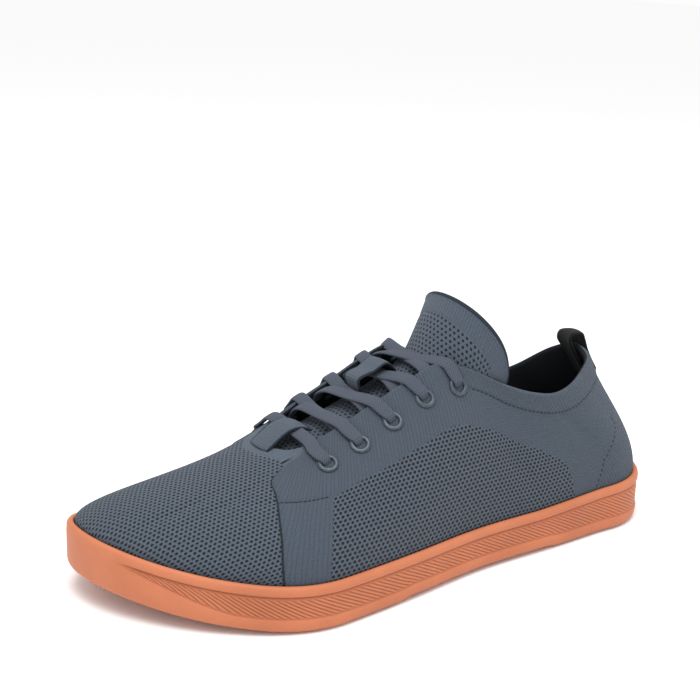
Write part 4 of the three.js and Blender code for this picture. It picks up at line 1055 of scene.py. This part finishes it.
# Soft hollows and folds: side (+1 outer, -1 inner), share from the toe, way up, half length
# and half width in millimetres, turn in degrees, depth
FOLDS = [
    (1, 0.055, 26.0, 22.0, 3.2, 64.0, 0.7),
    (1, 0.085, 36.0, 20.0, 3.0, 58.0, 0.6),
    (1, 0.225, 30.0, 26.0, 6.0, 35.0, 0.7),
    (1, 0.345, 26.0, 18.0, 6.0, -50.0, 0.8),
    (1, 0.420, 40.0, 20.0, 5.0, -68.0, 0.6),
    (-1, 0.070, 30.0, 22.0, 3.2, 62.0, 0.6),
    (-1, 0.240, 32.0, 24.0, 6.0, 38.0, 0.8),
    (-1, 0.350, 24.0, 18.0, 6.0, -48.0, 0.7),
]


def fold_depth(u, w, up):
    """Sum of long soft hollows, each a Gaussian across and a Gaussian along its turned axis."""
    total = np.zeros(u.shape)
    outer = np.mod(u, 1.0) <= HEEL_SHARE
    for side, at, height, long_half, wide_half, turn, depth in FOLDS:
        a = (w - at) * AROUND
        b = up - height
        c, s = math.cos(math.radians(turn)), math.sin(math.radians(turn))
        along = a * c + b * s
        across = -a * s + b * c
        shape = np.exp(-(along / long_half) ** 2 * 1.5 - (across / wide_half) ** 2)
        total += depth * shape * (outer if side > 0 else ~outer)
    return total


def groove(way, width):
    """Depth 1 at way 0, falling off as a Gaussian of that width."""
    return np.exp(-(way / width) ** 2)


def upper_lift(u, s):
    """How far the outer face stands over the section curve: the collar's band, the side panel
    behind the vamp seam, stitched grooves and soft folds."""
    up = height_up(u, s)
    down = section_length(u) - up
    w = side_share(u)
    from_seam = (w - seam_share(up)) * AROUND
    seam = SEAM_STEP * ramp(from_seam, 0.0, 0.9) - 0.5 * groove(from_seam + 0.5, 0.7)
    behind = ramp(w, 0.30, 0.325)
    collar = COLLAR_STEP * ramp(COLLAR_BAND - down, -0.4, 0.6) - 0.35 * groove(down - COLLAR_BAND, 0.7)
    band = 0.3 * groove(up - BAND_TOP, 0.8) * ((w > 0.11) & (w < BAND_END))
    return seam + collar * behind - band - fold_depth(u, w, up)


def girth(points, normals):
    """Way across the foot from the ridge above the same x: the straight line to the point,
    lengthened as an arc that turns as far as the surface does."""
    y = np.interp(points[..., 0], RIDGE[:, 0], RIDGE[:, 1])
    z = np.interp(points[..., 0], RIDGE[:, 0], RIDGE[:, 2])
    chord = np.hypot(points[..., 1] - y, points[..., 2] - z)
    half = np.arccos(np.clip(normals[..., 2], -1, 1)) / 2
    return np.sign(points[..., 1] - y) * chord * half / np.maximum(np.sin(half), 1e-3)


def upper_piece():
    """Closed shell: up the outer face, round the opening's edge as a half circle, and down the
    lining, closed under the footbed. Each panel has its own cloth coordinates."""
    columns = 2 * UPPER_HALF
    uu = np.append(round_shares(UPPER_HALF), 1.0)
    out_s = np.concatenate([[-1, -0.4], np.linspace(-0.08, 1, 100)])
    rim = np.linspace(0, np.pi, 9)[1:-1]
    in_s = np.concatenate([np.linspace(1, 0, 20), [-1]])
    s = np.concatenate([out_s, np.ones(len(rim)), in_s])
    rows = len(s)
    U, S = np.meshgrid(uu, s, indexing="ij")
    face = upper_face(U, S)
    normal = upper_normal(U, S)
    lift = upper_lift(U, np.clip(S, 0, 1))
    lift = np.where(S < 0, 0.0, lift * ramp(S, -0.02, 0.03))
    offset = np.where(np.arange(rows)[None, :] < len(out_s), lift, -WALL)
    points = face + normal * offset[..., None]
    top = face[:, len(out_s) - 1]
    top_up = unit(top - upper_face(uu, np.full(len(uu), 0.97)))
    top_lift = lift[:, len(out_s) - 1]
    middle = top_lift / 2 - WALL / 2
    radius = top_lift / 2 + WALL / 2
    for j, angle in enumerate(rim, len(out_s)):
        across = normal[:, j] * (middle + radius * math.cos(angle))[:, None]
        points[:, j] = top + across + top_up * (radius * math.sin(angle))[:, None]
    up = height_up(U, S) + np.where(S < 0, S * 12, 0)
    down = section_length(U) - up
    ridge_way = np.interp(face[..., 0], RIDGE[:, 0], way_along(RIDGE))
    corner_maps = {
        "cloth": (np.interp(U, SHARES, MIDDLE_WAY), up),
        "toe": (ridge_way, girth(face, normal)),
        "rim": (np.interp(U, SHARES, EDGE_WAY), down),
    }
    a, b = np.meshgrid(np.arange(columns), np.arange(rows), indexing="ij")
    after = (b + 1) % rows
    corners = [(a, b), (a + 1, b), (a + 1, after), (a, after)]
    uvs = {label: np.stack([np.stack([first[c].ravel(), second[c].ravel()], -1) for c in corners], 1)
           for label, (first, second) in corner_maps.items()}
    faces = np.stack([(((i % columns) * rows) + j).ravel() for i, j in corners], 1)
    lining = b >= len(out_s) + 3
    values = panel_values(side_share(U), up, down)
    values = {label: table[:-1] for label, table in values.items()}
    return make_mesh("upper_knit", points[:-1].reshape(-1, 3), faces, uvs,
                     [UPPER_KNIT, LINING], lining.ravel(), values)


def on_upper(u, s):
    """Point on the dressed outer face, with its outward direction."""
    normal = upper_normal(u, s)
    return upper_face(u, s) + normal * upper_lift(u, s)[..., None], normal


def s_at_up(u, up):
    """Share up the section for a way up in millimetres."""
    s = np.clip(up / section_length(u), 0, 1)
    for _ in range(6):
        s = np.clip(s + (up - height_up(u, s)) / section_length(u), 0, 1)
    return s


# Stitches
def stitch_row(name, path, normals, length, pitch, radius):
    """Short threads laid end to end along a path: each is a six-sided tube with pinched ends,
    a copy of one small shape placed by its middle and its direction."""
    way = way_along(path)
    count = max(2, int(way[-1] / pitch))
    at = (np.arange(count) + 0.5) * way[-1] / count
    centre = read_off(at, way, path)
    along = unit(read_off(at + 0.2, way, path) - read_off(at - 0.2, way, path))
    normal = unit(read_off(at, way, normals))
    across = unit(np.cross(normal, along))
    profile = np.array([[-0.5, 0.15], [-0.38, 0.8], [0, 1.0], [0.38, 0.8], [0.5, 0.15]])
    turn = np.arange(6) / 6 * 2 * np.pi
    ends, sides = len(profile), len(turn)
    shape = np.zeros((ends, sides, 3))
    shape[..., 0] = profile[:, None, 0] * length
    shape[..., 1] = profile[:, None, 1] * radius * np.cos(turn)
    shape[..., 2] = profile[:, None, 1] * radius * np.sin(turn)
    frames = np.stack([along, across, normal], 1)
    points = centre[:, None] + shape.reshape(-1, 3) @ frames
    caps = np.array([[3, 2, 1, 0], [5, 4, 3, 0], [24, 25, 26, 27], [24, 27, 28, 29]])
    faces = np.vstack([grid_faces(ends, sides, wrap_columns=True), caps])
    size = ends * sides
    every = (faces[None] + np.arange(count)[:, None, None] * size).reshape(-1, 4)
    uvs = np.stack([every % size, every // size], -1)
    return make_mesh(name, points.reshape(-1, 3), every, uvs, [THREAD])


def upper_stitches():
    """Thread rows: under the collar band, across the ribbed bands and down the heel lines."""

    def row(label, u, up, length, pitch, radius):
        path, normals = on_upper(u, s_at_up(u, up))
        return stitch_row(label, path, normals, length, pitch, radius)

    def inner(w):
        return 1 - w * (1 - HEEL_SHARE) / HEEL_SHARE

    u = np.linspace(EYESTAY_END, inner(EYESTAY_END), 400)
    rows = [row("stitch_collar", u, section_length(u) - COLLAR_BAND, 1.4, 2.3, 0.28)]
    band = np.linspace(0.1265, 0.172, 40)
    up = np.linspace(2, 36, 40)
    heel = np.interp(up, HEEL_LINE_UP, HEEL_LINE)
    for tag in ("outer", "inner"):
        if tag == "inner":
            band, heel = inner(band), inner(heel)
        rows.append(row(f"stitch_band_{tag}", band, np.full(40, BAND_TOP), 1.7, 1.85, 0.32))
        rows.append(row(f"stitch_heel_{tag}", heel, up, 1.3, 2.4, 0.26))
    return rows


# Tongue and flat soft pieces
TONGUE_NAMES = ["at", "x", "z", "y", "radius", "wrap", "tilt"]
TONGUE = np.array([
    [0.0, 0.73, 0.572, -0.05, 0.265, 34, 24],
    [0.2, 0.655, 0.662, -0.04, 0.26, 44, 27],
    [0.4, 0.575, 0.752, -0.035, 0.255, 50, 29],
    [0.6, 0.5, 0.852, -0.025, 0.235, 60, 33],
    [0.75, 0.457, 0.955, -0.01, 0.218, 88, 44],
    [0.87, 0.432, 1.1, 0.0, 0.238, 116, 50],
    [1.0, 0.41, 1.26, 0.012, 0.268, 122, 52],
])


def tongue_face(a, s, lift=0.0):
    """Face of the tongue: a circular arc across, hung from a ridge line and tilted back. Past a
    quarter turn the sides run straight down, and the top edge falls away to both sides."""
    a = np.asarray(a, float)
    s = np.asarray(s, float) * (1 - TONGUE_FALL * np.abs(a) ** 2.4)
    lift = np.asarray(lift, float)

    def value(name):
        return hermite(s, TONGUE[:, 0], TONGUE[:, TONGUE_NAMES.index(name)])

    tilt = np.radians(value("tilt"))
    angle = np.radians(value("wrap")) * a
    bend = np.clip(angle, -np.pi / 2, np.pi / 2)
    radius = value("radius") * BALL
    down = (np.cos(bend) - 1) * radius - np.abs(angle - bend) * radius + np.cos(bend) * lift
    x = value("x") * LENGTH + np.sin(tilt) * down
    y = value("y") * BALL + np.sin(bend) * (radius + lift)
    return np.stack([x, y, value("z") * INSTEP + np.cos(tilt) * down], -1)


def pillow(name, middle, half, across, along, materials, panel=None, flip=False):
    """Closed soft sheet: a middle surface moved out both ways by half its thickness, which
    falls to nothing at all four edges so that both faces share them."""
    half[:, [0, -1]] = 0
    half[[0, -1], :] = 0
    normal = unit(np.cross(np.gradient(middle, axis=0), np.gradient(middle, axis=1)))
    normal *= (-1 if flip else 1) * half[..., None]
    rows, columns = middle.shape[:2]
    points = np.concatenate([(middle + normal).reshape(-1, 3), (middle - normal).reshape(-1, 3)])
    faces = grid_faces(rows, columns, flip=not flip)
    uvs = grid_uvs(across, along, rows, columns, flip=not flip)
    back = faces[:, ::-1] + rows * columns
    number = np.zeros(len(faces), int) if panel is None else panel.ravel()
    lining = np.full(len(faces), len(materials) - 1)
    piece = make_mesh(name, points, np.vstack([faces, back]),
                      np.concatenate([uvs, uvs[:, ::-1]]), materials,
                      np.concatenate([number, lining]))
    return seal(piece, 1e-5)


def cosine_steps(count):
    """Steps from 0 to 1, close together at both ends."""
    return 0.5 - 0.5 * np.cos(np.linspace(0, np.pi, count))


def edge_round(far, radius):
    """Rounded edge: a quarter circle of the given radius over the distance from the edge."""
    t = np.clip(far / radius, 0, 1)
    return np.sqrt(np.clip(1 - (1 - t) ** 2, 0, 1))


def tongue_piece():
    """Padded tongue: mesh knit in the middle, ribbed border and a dark bound edge."""
    S, A = np.meshgrid(cosine_steps(170), cosine_steps(150) * 2 - 1, indexing="ij")
    raw = tongue_face(A, S, -TONGUE_THICK / 2)
    along = way_along(raw)
    across = way_along(raw, 1)
    width = across[:, -1:]
    across = across - width / 2
    side = width / 2 - np.abs(across)
    top = along[-1:] - along
    border = np.minimum(side, top)
    half = np.full(raw.shape[:2], TONGUE_THICK / 2)
    half = half + 0.35 * groove(border - 1.2, 1.1) - 0.25 * groove(border - TONGUE_BORDER, 0.8)
    half *= edge_round(side, TONGUE_BINDING) * edge_round(np.minimum(along, top), TONGUE_BINDING)
    cell = (border[:-1, :-1] + border[1:, 1:]) / 2
    panel = np.where(cell > TONGUE_BORDER, 0, 1)
    panel = np.where(cell < TONGUE_BINDING, 2, panel)
    return pillow("tongue_knit", raw, half, across, along,
                  [TONGUE_MESH, COLLAR_RIBS, THREAD, LINING], panel, flip=True)


STRAP_LINES = np.linspace(-0.5, 0.5, 21)


def strap_piece(name, lines, thick, materials, panel_of=None, count=70):
    """Flat soft band through lines that run along it, one for each share of its width."""
    middle = np.stack([catmull(line, count) for line in lines], 1)
    along = way_along(middle)
    across = way_along(middle, 1)
    back = across[:, -1:] - across
    half = edge_round(np.minimum(across, back), 0.7) * thick / 2
    half *= edge_round(np.minimum(along, along[-1:] - along), 0.7)
    panel = None if panel_of is None else panel_of(across[:-1, :-1], back[:-1, :-1])
    return pillow(name, middle, half, across, along, materials, panel)


LOOP_AT = 0.503
COLLAR_SHARE = 0.00115
LOOP_CROWN = [(-0.6, 0.62), (1.2, 0.98), (7.4, 1.0), (8.4, 0.66)]
FACET_EASE = 0.3


def heel_loop_piece():
    """Webbing folded over the back of the collar, one leg outside and one inside the wall."""
    outside = COLLAR_STEP + SEAM_STEP + 0.2 + LOOP_THICK / 2
    inside = -WALL - 2 * GAP - FACET_EASE - LOOP_THICK / 2
    lines = []
    for across in STRAP_LINES:
        u = LOOP_AT - across * LOOP_WIDTH * COLLAR_SHARE
        crown = upper_face(u, 1.0)

        def place(down, offset):
            s = 1 - down / float(section_length(u))
            return upper_face(u, s) + upper_normal(u, s) * offset

        over = [crown + np.array([x, 0, up * LOOP_STAND]) for x, up in LOOP_CROWN]
        lines.append([
            place(LOOP_FOOT, outside), place(LOOP_FOOT / 2, outside), place(0.6, outside + 0.1),
            *over,
            place(0.6, inside - 0.6), place(LOOP_FOOT / 2, inside), place(LOOP_FOOT, inside)])
    return strap_piece("heel_loop_webbing", lines, LOOP_THICK, [WEBBING, WEBBING], count=110)


TONGUE_RIDGE = tongue_face(np.zeros(600), np.linspace(0, 1, 600))


def tongue_share(x):
    """Share along the tongue where its middle line reaches x."""
    return float(np.interp(-x, -TONGUE_RIDGE[:, 0], np.linspace(0, 1, 600)))


def tongue_top(x):
    """Height of the tongue's middle line at x."""
    return float(tongue_face(0.0, tongue_share(x))[2])


# Lacing
EYELET_SPAN = {"lateral": (0.17, 0.305), "medial": (0.854, 0.719)}
LACE_SAG = 2.0
LACE_LIFT = GAP + LACE_THICK / 2 + 0.15


def eyelet_seat(side, row):
    """Middle of an eyelet on the upper's face, its outward direction and its u and s."""
    first, last = EYELET_SPAN[side]
    u = first + (last - first) * row / (EYELET_ROWS - 1)
    length = float(section_length(u))
    s = 1 - EYELET_INSET / length
    spread = EYELET_OUTER / 2 / length
    shift = EYELET_OUTER / 2 / AROUND
    along = upper_face(u + shift, s) - upper_face(u - shift, s)
    up = upper_face(u, s + spread) - upper_face(u, s - spread)
    normal = unit(np.cross(along, up))
    return upper_face(u, s) + normal * SEAM_STEP, normal, u, s


def eyelet_piece(side, row):
    """Rolled ring: a closed profile of flange, bead and tube turned round the eyelet's axis."""
    point, normal, _, _ = eyelet_seat(side, row)
    hole = EYELET_HOLE / 2
    outer = EYELET_OUTER / 2
    profile = np.array([
        [outer, 0.05], [outer + 0.05, 0.35], [outer - 0.15, 0.7], [outer - 0.6, 0.98],
        [outer - 1.1, 1.05], [hole + 0.6, 1.0], [hole + 0.22, 0.8], [hole + 0.02, 0.4],
        [hole, 0.0], [hole, -WALL - 0.4], [hole + 0.45, -WALL - 0.4], [hole + 0.5, 0.05],
    ])
    turn = np.arange(40) / 40 * 2 * np.pi
    across = unit(np.cross(normal, [0.0, 0.0, 1.0]))
    up = np.cross(normal, across)
    ring = (point + (profile[:, None, 0] * np.cos(turn))[..., None] * across
            + (profile[:, None, 0] * np.sin(turn))[..., None] * up
            + (profile[:, 1] + 0.15)[:, None, None] * normal)
    faces = grid_faces(len(profile), 40, wrap_rows=True, wrap_columns=True)
    return make_mesh(f"eyelet_ring_{side}_{row + 1}", ring.reshape(-1, 3), faces, materials=[ENAMEL])


def edge_crossing(side, start, end):
    """Share round the foot where the straight way between two points, seen from above, crosses
    the opening's edge on one side."""
    first, last = EYELET_SPAN[side]
    u = np.linspace(first - (last - first) * 0.25, last, 400)
    edge = upper_face(u, 1.0)
    way = end - start
    off = (edge[:, 0] - start[0]) * way[1] - (edge[:, 1] - start[1]) * way[0]
    return float(u[np.argmin(np.abs(off))])


def into_eyelet(side, row, start):
    """The lace's last points: straight from a start over the flap's edge to the ring, then in
    through the hole."""
    centre, normal, u, s = eyelet_seat(side, row)
    top = centre + normal * (GAP + 1 + LACE_THICK / 2 + 0.1)
    crossing = edge_crossing(side, start, top)
    flap = []
    directions = []
    for share, lift in ((0.0, 0.0), (0.4, 0.25), (0.7, 0.5)):
        place = crossing + (u - crossing) * share, 1 + (s - 1) * share
        directions.append(upper_normal(*place))
        flap.append(upper_face(*place) + directions[-1] * (SEAM_STEP + LACE_LIFT + lift))
    back = unit(flap[-1] - top)
    above = top + back * 2.3
    dip = centre + normal * 0.7 + back * 0.9
    deep = centre - normal * (WALL + 1.4) + back * 0.2
    turn = unit(normal * 0.45 - back * 0.7)
    return ([*flap, above, dip, deep], [*directions, normal, turn, -back],
            [LACE_WIDTH, LACE_WIDTH, 5.6, 4.9, 4.0, 3.4])


def lace_mesh(name, points, normals, widths, count=110):
    """Flat lace: a squared-off oval carried along the path, its flat side square to the given
    directions. Its cloth coordinates run along and across it in millimetres."""
    sides = 20
    path = catmull(points, count)
    share = np.linspace(0, len(points) - 1, count)
    base = np.arange(len(points))
    width = np.interp(share, base, widths)
    along = unit(np.gradient(path, axis=0))
    across = unit(np.cross(along, read_off(share, base, normals)))
    up = np.cross(across, along)
    turn = np.arange(sides) / sides * 2 * np.pi
    flat = np.sign(np.cos(turn)) * np.abs(np.cos(turn)) ** 0.55
    high = np.sign(np.sin(turn)) * np.abs(np.sin(turn)) ** 0.8
    thick = LACE_THICK * (LACE_WIDTH / np.maximum(width, 3.2)) ** 0.5
    ring = (path[:, None] + across[:, None] * (flat[None] * width[:, None] / 2)[..., None]
            + up[:, None] * (high[None] * thick[:, None] / 2)[..., None])
    u = np.repeat(way_along(path)[:, None], sides + 1, 1)
    v = np.repeat(np.append(flat, flat[:1])[None] * LACE_WIDTH / 2, count, 0)
    faces = grid_faces(count, sides, wrap_columns=True, flip=True)
    uvs = grid_uvs(u, v, count, sides, wrap_columns=True, flip=True)
    k = np.arange(sides)
    after = (k + 1) % sides
    tip = count * sides
    last = tip - sides
    near = np.stack([np.full(sides, tip), k, after, after], 1)
    far = np.stack([np.full(sides, tip + 1), last + after, last + k, last + k], 1)
    return make_mesh(name, np.vstack([ring.reshape(-1, 3), path[[0, -1]]]), np.vstack([faces, near, far]),
                     np.concatenate([uvs, np.zeros((2 * sides, 4, 2))]), [LACE])


STRAND_START = 0.38  # rows by which a strand leaves the flap behind the eyelet before
TONGUE_EASE = 0.6  # how far a strand may sink into the soft tongue


def strand_start(row, from_side):
    """Point on the flap's edge where a strand comes out from under it, with its direction and
    its share round the foot."""
    first, last = EYELET_SPAN[from_side]
    u = first + (last - first) * (row + STRAND_START) / (EYELET_ROWS - 1)
    return upper_face(u, 1.0), upper_normal(u, 0.98), u


def lace_strand(row, to_side):
    """From under one flap, straight over the tongue and the other flap into the next eyelet."""
    from_side = "medial" if to_side == "lateral" else "lateral"
    over = LACE_THICK * 0.85 if to_side == "lateral" else 0.0
    sign = 1 if to_side == "lateral" else -1
    edge, start_up, u = strand_start(row, from_side)
    hidden = upper_face(u, 0.9) - start_up * (WALL + 1.1)
    under = edge - start_up * (WALL * 0.5 + 0.6) + np.array([0, sign * 1.5, 0])
    points, normals, widths = into_eyelet(to_side, row + 1, edge)
    way = points[0] - edge
    inside = edge + way * 0.22 + start_up * 0.2
    middle = edge + way * 0.6
    inside[2] += over * 0.6
    middle[2] += over - LACE_SAG * 0.4
    for p in (middle, inside):
        p[2] = max(p[2], tongue_top(p[0]) + LACE_THICK / 2 + 0.5 + over - TONGUE_EASE)
    middle_up = unit(start_up + normals[0])
    return lace_mesh(f"lace_to_{to_side}_{row + 2}", [hidden, under, inside, middle, *points],
                     [start_up, start_up, start_up, middle_up, *normals],
                     [LACE_WIDTH] * 4 + widths)


def bar_halves():
    """The bottom bar's ways over each flap into the first two eyelets."""
    outer = eyelet_seat("lateral", 0)[0]
    inner = eyelet_seat("medial", 0)[0]
    return into_eyelet("lateral", 0, inner), into_eyelet("medial", 0, outer)


def bar_middle():
    """Middle of the bottom bar, a little over the line between the two flap edges."""
    (outer, _, _), (inner, _, _) = bar_halves()
    return (outer[0] + inner[0]) / 2 + np.array([0, 0, 0.5])


def lace_bar_piece():
    """Bottom bar from one first eyelet over the throat to the other."""
    (outer, outer_up, wide), (inner, inner_up, _) = bar_halves()
    up = unit(outer_up[0] + inner_up[0])
    return lace_mesh("lace_bottom_bar", [*outer[::-1], bar_middle(), *inner],
                     [*outer_up[::-1], up, *inner_up], [*wide[::-1], LACE_WIDTH, *wide], 150)


KEEPER_ROW = 2  # the strap holds the crossing behind this row
KEEPER_TURN = 16 / 44  # its width as a share of the tongue's, measured round it
KEEPER_REACH = 7.3  # half its length along the foot
# Its line along the foot in reaches, and how much of its height it has there
KEEPER_ARCH = [(-1.4, 0), (-1.36, 0.5), (-1.15, 1), (-0.2, 1), (0.76, 1), (0.93, 0.5), (0.97, 0)]


def tongue_keeper_piece():
    """Knit strap arched over one crossing of the lace, both ends on the tongue."""
    edge = strand_start(KEEPER_ROW, "medial")[0]
    crossing = (edge + into_eyelet("lateral", KEEPER_ROW + 1, edge)[0][0]) / 2
    centre = crossing[0]
    low = 2 * GAP + KEEPER_THICK / 2
    top = max(crossing[2], tongue_top(centre) + LACE_THICK) + LACE_THICK * 1.35
    high = top - tongue_top(centre) + LACE_THICK / 2 + GAP + KEEPER_THICK / 2
    lines = []
    for across in STRAP_LINES:
        a = across * KEEPER_TURN - 0.05
        lines.append([tongue_face(a, tongue_share(centre + along * KEEPER_REACH), low + (high - low) * rise)
                      for along, rise in KEEPER_ARCH])

    def panel(left, right):
        return np.where((left < 1.3) | (right < 1.3), 1, 0)

    return strap_piece("tongue_keeper_strap", lines, KEEPER_THICK, [STRAP_KNIT, THREAD, LINING], panel)


def vamp_top(x):
    """Height of the upper's face over x, on the line from the toe to the throat."""
    return float(np.interp(x, RIDGE[:, 0], RIDGE[:, 2]))


TAB_WIDTH = 15.0
TAB_FRONT = 210.5


def vamp_tab_piece():
    """Knit tab that carries the vamp on over the bottom bar, bound with thread at its end."""
    bar = bar_middle()
    over = LACE_THICK / 2 + GAP + KEEPER_THICK / 2
    lines = []
    for across in STRAP_LINES:
        y = bar[1] - 1.0 + across * TAB_WIDTH
        sink = (across * TAB_WIDTH) ** 2 / 90
        tail = bar[0] - 7.5
        front = TAB_FRONT - 6 * abs(across) ** 2
        rows = [(tail, max(tongue_top(tail) + 1.4, bar[2] - 0.4) - sink),
                (bar[0] - 3.4, bar[2] + over - 0.3 - sink),
                (bar[0], bar[2] + over - sink),
                (bar[0] + 4.2, bar[2] + over - 0.9 - sink),
                (front, vamp_top(front) + 0.45 - sink)]
        lines.append([np.array([x, y, z]) for x, z in rows])

    def panel(left, right):
        rows = np.arange(left.shape[0])[:, None] * np.ones_like(left)
        return np.where((rows < 8) | (left < 1.0) | (right < 1.0), 1, 0)

    return strap_piece("vamp_tab_knit", lines, KEEPER_THICK, [STRAP_KNIT, THREAD, LINING], panel)


def insole_piece():
    """Footbed: rings from its rounded edge to the middle line, with a flat underside."""
    u = round_shares(RIBS_A_SIDE * RIB_COLUMNS)[::4]
    edge_x = outline_at(u)[0][:, 0]
    inset = UPPER_INSET + WALL + GAP
    bed = PLATE + GAP
    rings = []

    def flat_ring(more, share, up):
        p = toward_spine(u, inset + more, share)
        rings.append(np.column_stack([p, ground_at(p[:, 0]) + bed + up]))

    flat_ring(0, 1.0, 0)
    flat_ring(0, 0.4, 0)
    for more, up in [(0, 0), (0, 2.2), (0.4, 2.8), (1.2, 3.0)]:
        rings.append(np.column_stack([outline_at(u, inset + more)[0], ground_at(edge_x) + bed + up]))
    for share in np.linspace(0.1, 1, 12):
        flat_ring(1.2, share, 3.0)
    rows, columns = len(rings), len(u)
    grid = np.stack(rings)
    faces = grid_faces(rows, columns, wrap_columns=True)
    closed = np.concatenate([grid, grid[:, :1]], 1)
    uvs = grid_uvs(closed[..., 0], closed[..., 1], rows, columns, wrap_columns=True)
    return seal(make_mesh("insole_footbed", grid.reshape(-1, 3), faces, uvs, [FOOTBED]), 2e-6)


# Build the shoe
def dress(piece, slot_name, *nodes):
    """Puts a piece in the place of its CAD nodes."""
    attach(piece, "root")
    if nodes:
        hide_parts(*nodes)


def build_shoe():
    """Every piece of the shoe, each in the place of its solids."""
    dress(outsole_piece(), "sole_rubber", "outsole")
    dress(insole_piece(), "insole_foam", "insole")
    dress(upper_piece(), "knit_upper", "upper")
    for row in upper_stitches():
        dress(row, "knit_upper")
    dress(tongue_piece(), "knit_upper", "tongue")
    dress(tongue_keeper_piece(), "knit_upper", "tongue_keeper")
    dress(vamp_tab_piece(), "knit_upper", "vamp_tab")
    dress(heel_loop_piece(), "webbing", "heel_pull_loop")
    for side in EYELET_SPAN:
        for row in range(EYELET_ROWS):
            dress(eyelet_piece(side, row), "eyelet_enamel", f"eyelet_{side}_{row + 1}")
    dress(lace_bar_piece(), "lace_cord", "lace_bar_1")
    for row in range(EYELET_ROWS - 1):
        for side in EYELET_SPAN:
            dress(lace_strand(row, side), "lace_cord", f"lace_crossing_{row + 1}")


# Studio
def studio_floor():
    """Plain pale floor under the shoe."""
    mesh = bpy.data.meshes.new("studio_floor")
    size = 6.0
    mesh.from_pydata([(-size, -size, 0), (size, -size, 0), (size, size, 0), (-size, size, 0)],
                     [], [(0, 1, 2, 3)])
    floor = bpy.data.objects.new("studio_floor", mesh)
    bpy.context.scene.collection.objects.link(floor)
    material, _, shader = new_material("studio floor", 0.9)
    shader.inputs["Base Color"].default_value = (0.97, 0.97, 0.97, 1)
    shader.inputs["Specular IOR Level"].default_value = 0.0
    mesh.materials.append(material)


def soft_light(name, place, aim, size, power):
    """Square soft light that looks at a point."""
    data = bpy.data.lights.new(name, "AREA")
    data.size = size
    data.energy = power
    light = bpy.data.objects.new(name, data)
    light.location = place
    way = Vector(aim) - Vector(place)
    light.rotation_euler = way.to_track_quat("-Z", "Y").to_euler()
    bpy.context.scene.collection.objects.link(light)


def studio_lights():
    """White room light, a broad key over the toe and a weak fill from the heel's side."""
    world = bpy.data.worlds.new("studio")
    world.use_nodes = True
    background = world.node_tree.nodes["Background"]
    background.inputs["Color"].default_value = (1, 1, 1, 1)
    background.inputs["Strength"].default_value = 0.98
    bpy.context.scene.world = world
    soft_light("key", (0.2, 0.2, 1.0), (0.06, 0, 0.03), 0.7, 8.5)
    soft_light("fill", (-0.6, 0.8, 0.5), (0, 0, 0.03), 0.8, 0.6)


def photo_camera():
    """Camera at the photograph's place: its position and its right and up directions."""
    data = bpy.data.cameras.new("photo_camera")
    data.sensor_width = 36
    data.lens = 1384.834 / 700 * 36
    camera = bpy.data.objects.new("photo_camera", data)
    place = in_frame([488.497, 480.816, 267.41])
    right = Vector((-0.83642, 0.54695, 0.03521))
    up = Vector((-0.12508, -0.25303, 0.95934))
    back = right.cross(up)
    turn = Matrix((right, up, back)).transposed().to_4x4()
    camera.matrix_world = Matrix.Translation(Vector(place)) @ turn
    bpy.context.scene.collection.objects.link(camera)
    bpy.context.scene.camera = camera


photo_camera()
build_shoe()
studio_floor()
studio_lights()
bpy.context.scene.view_settings.view_transform = "Standard"
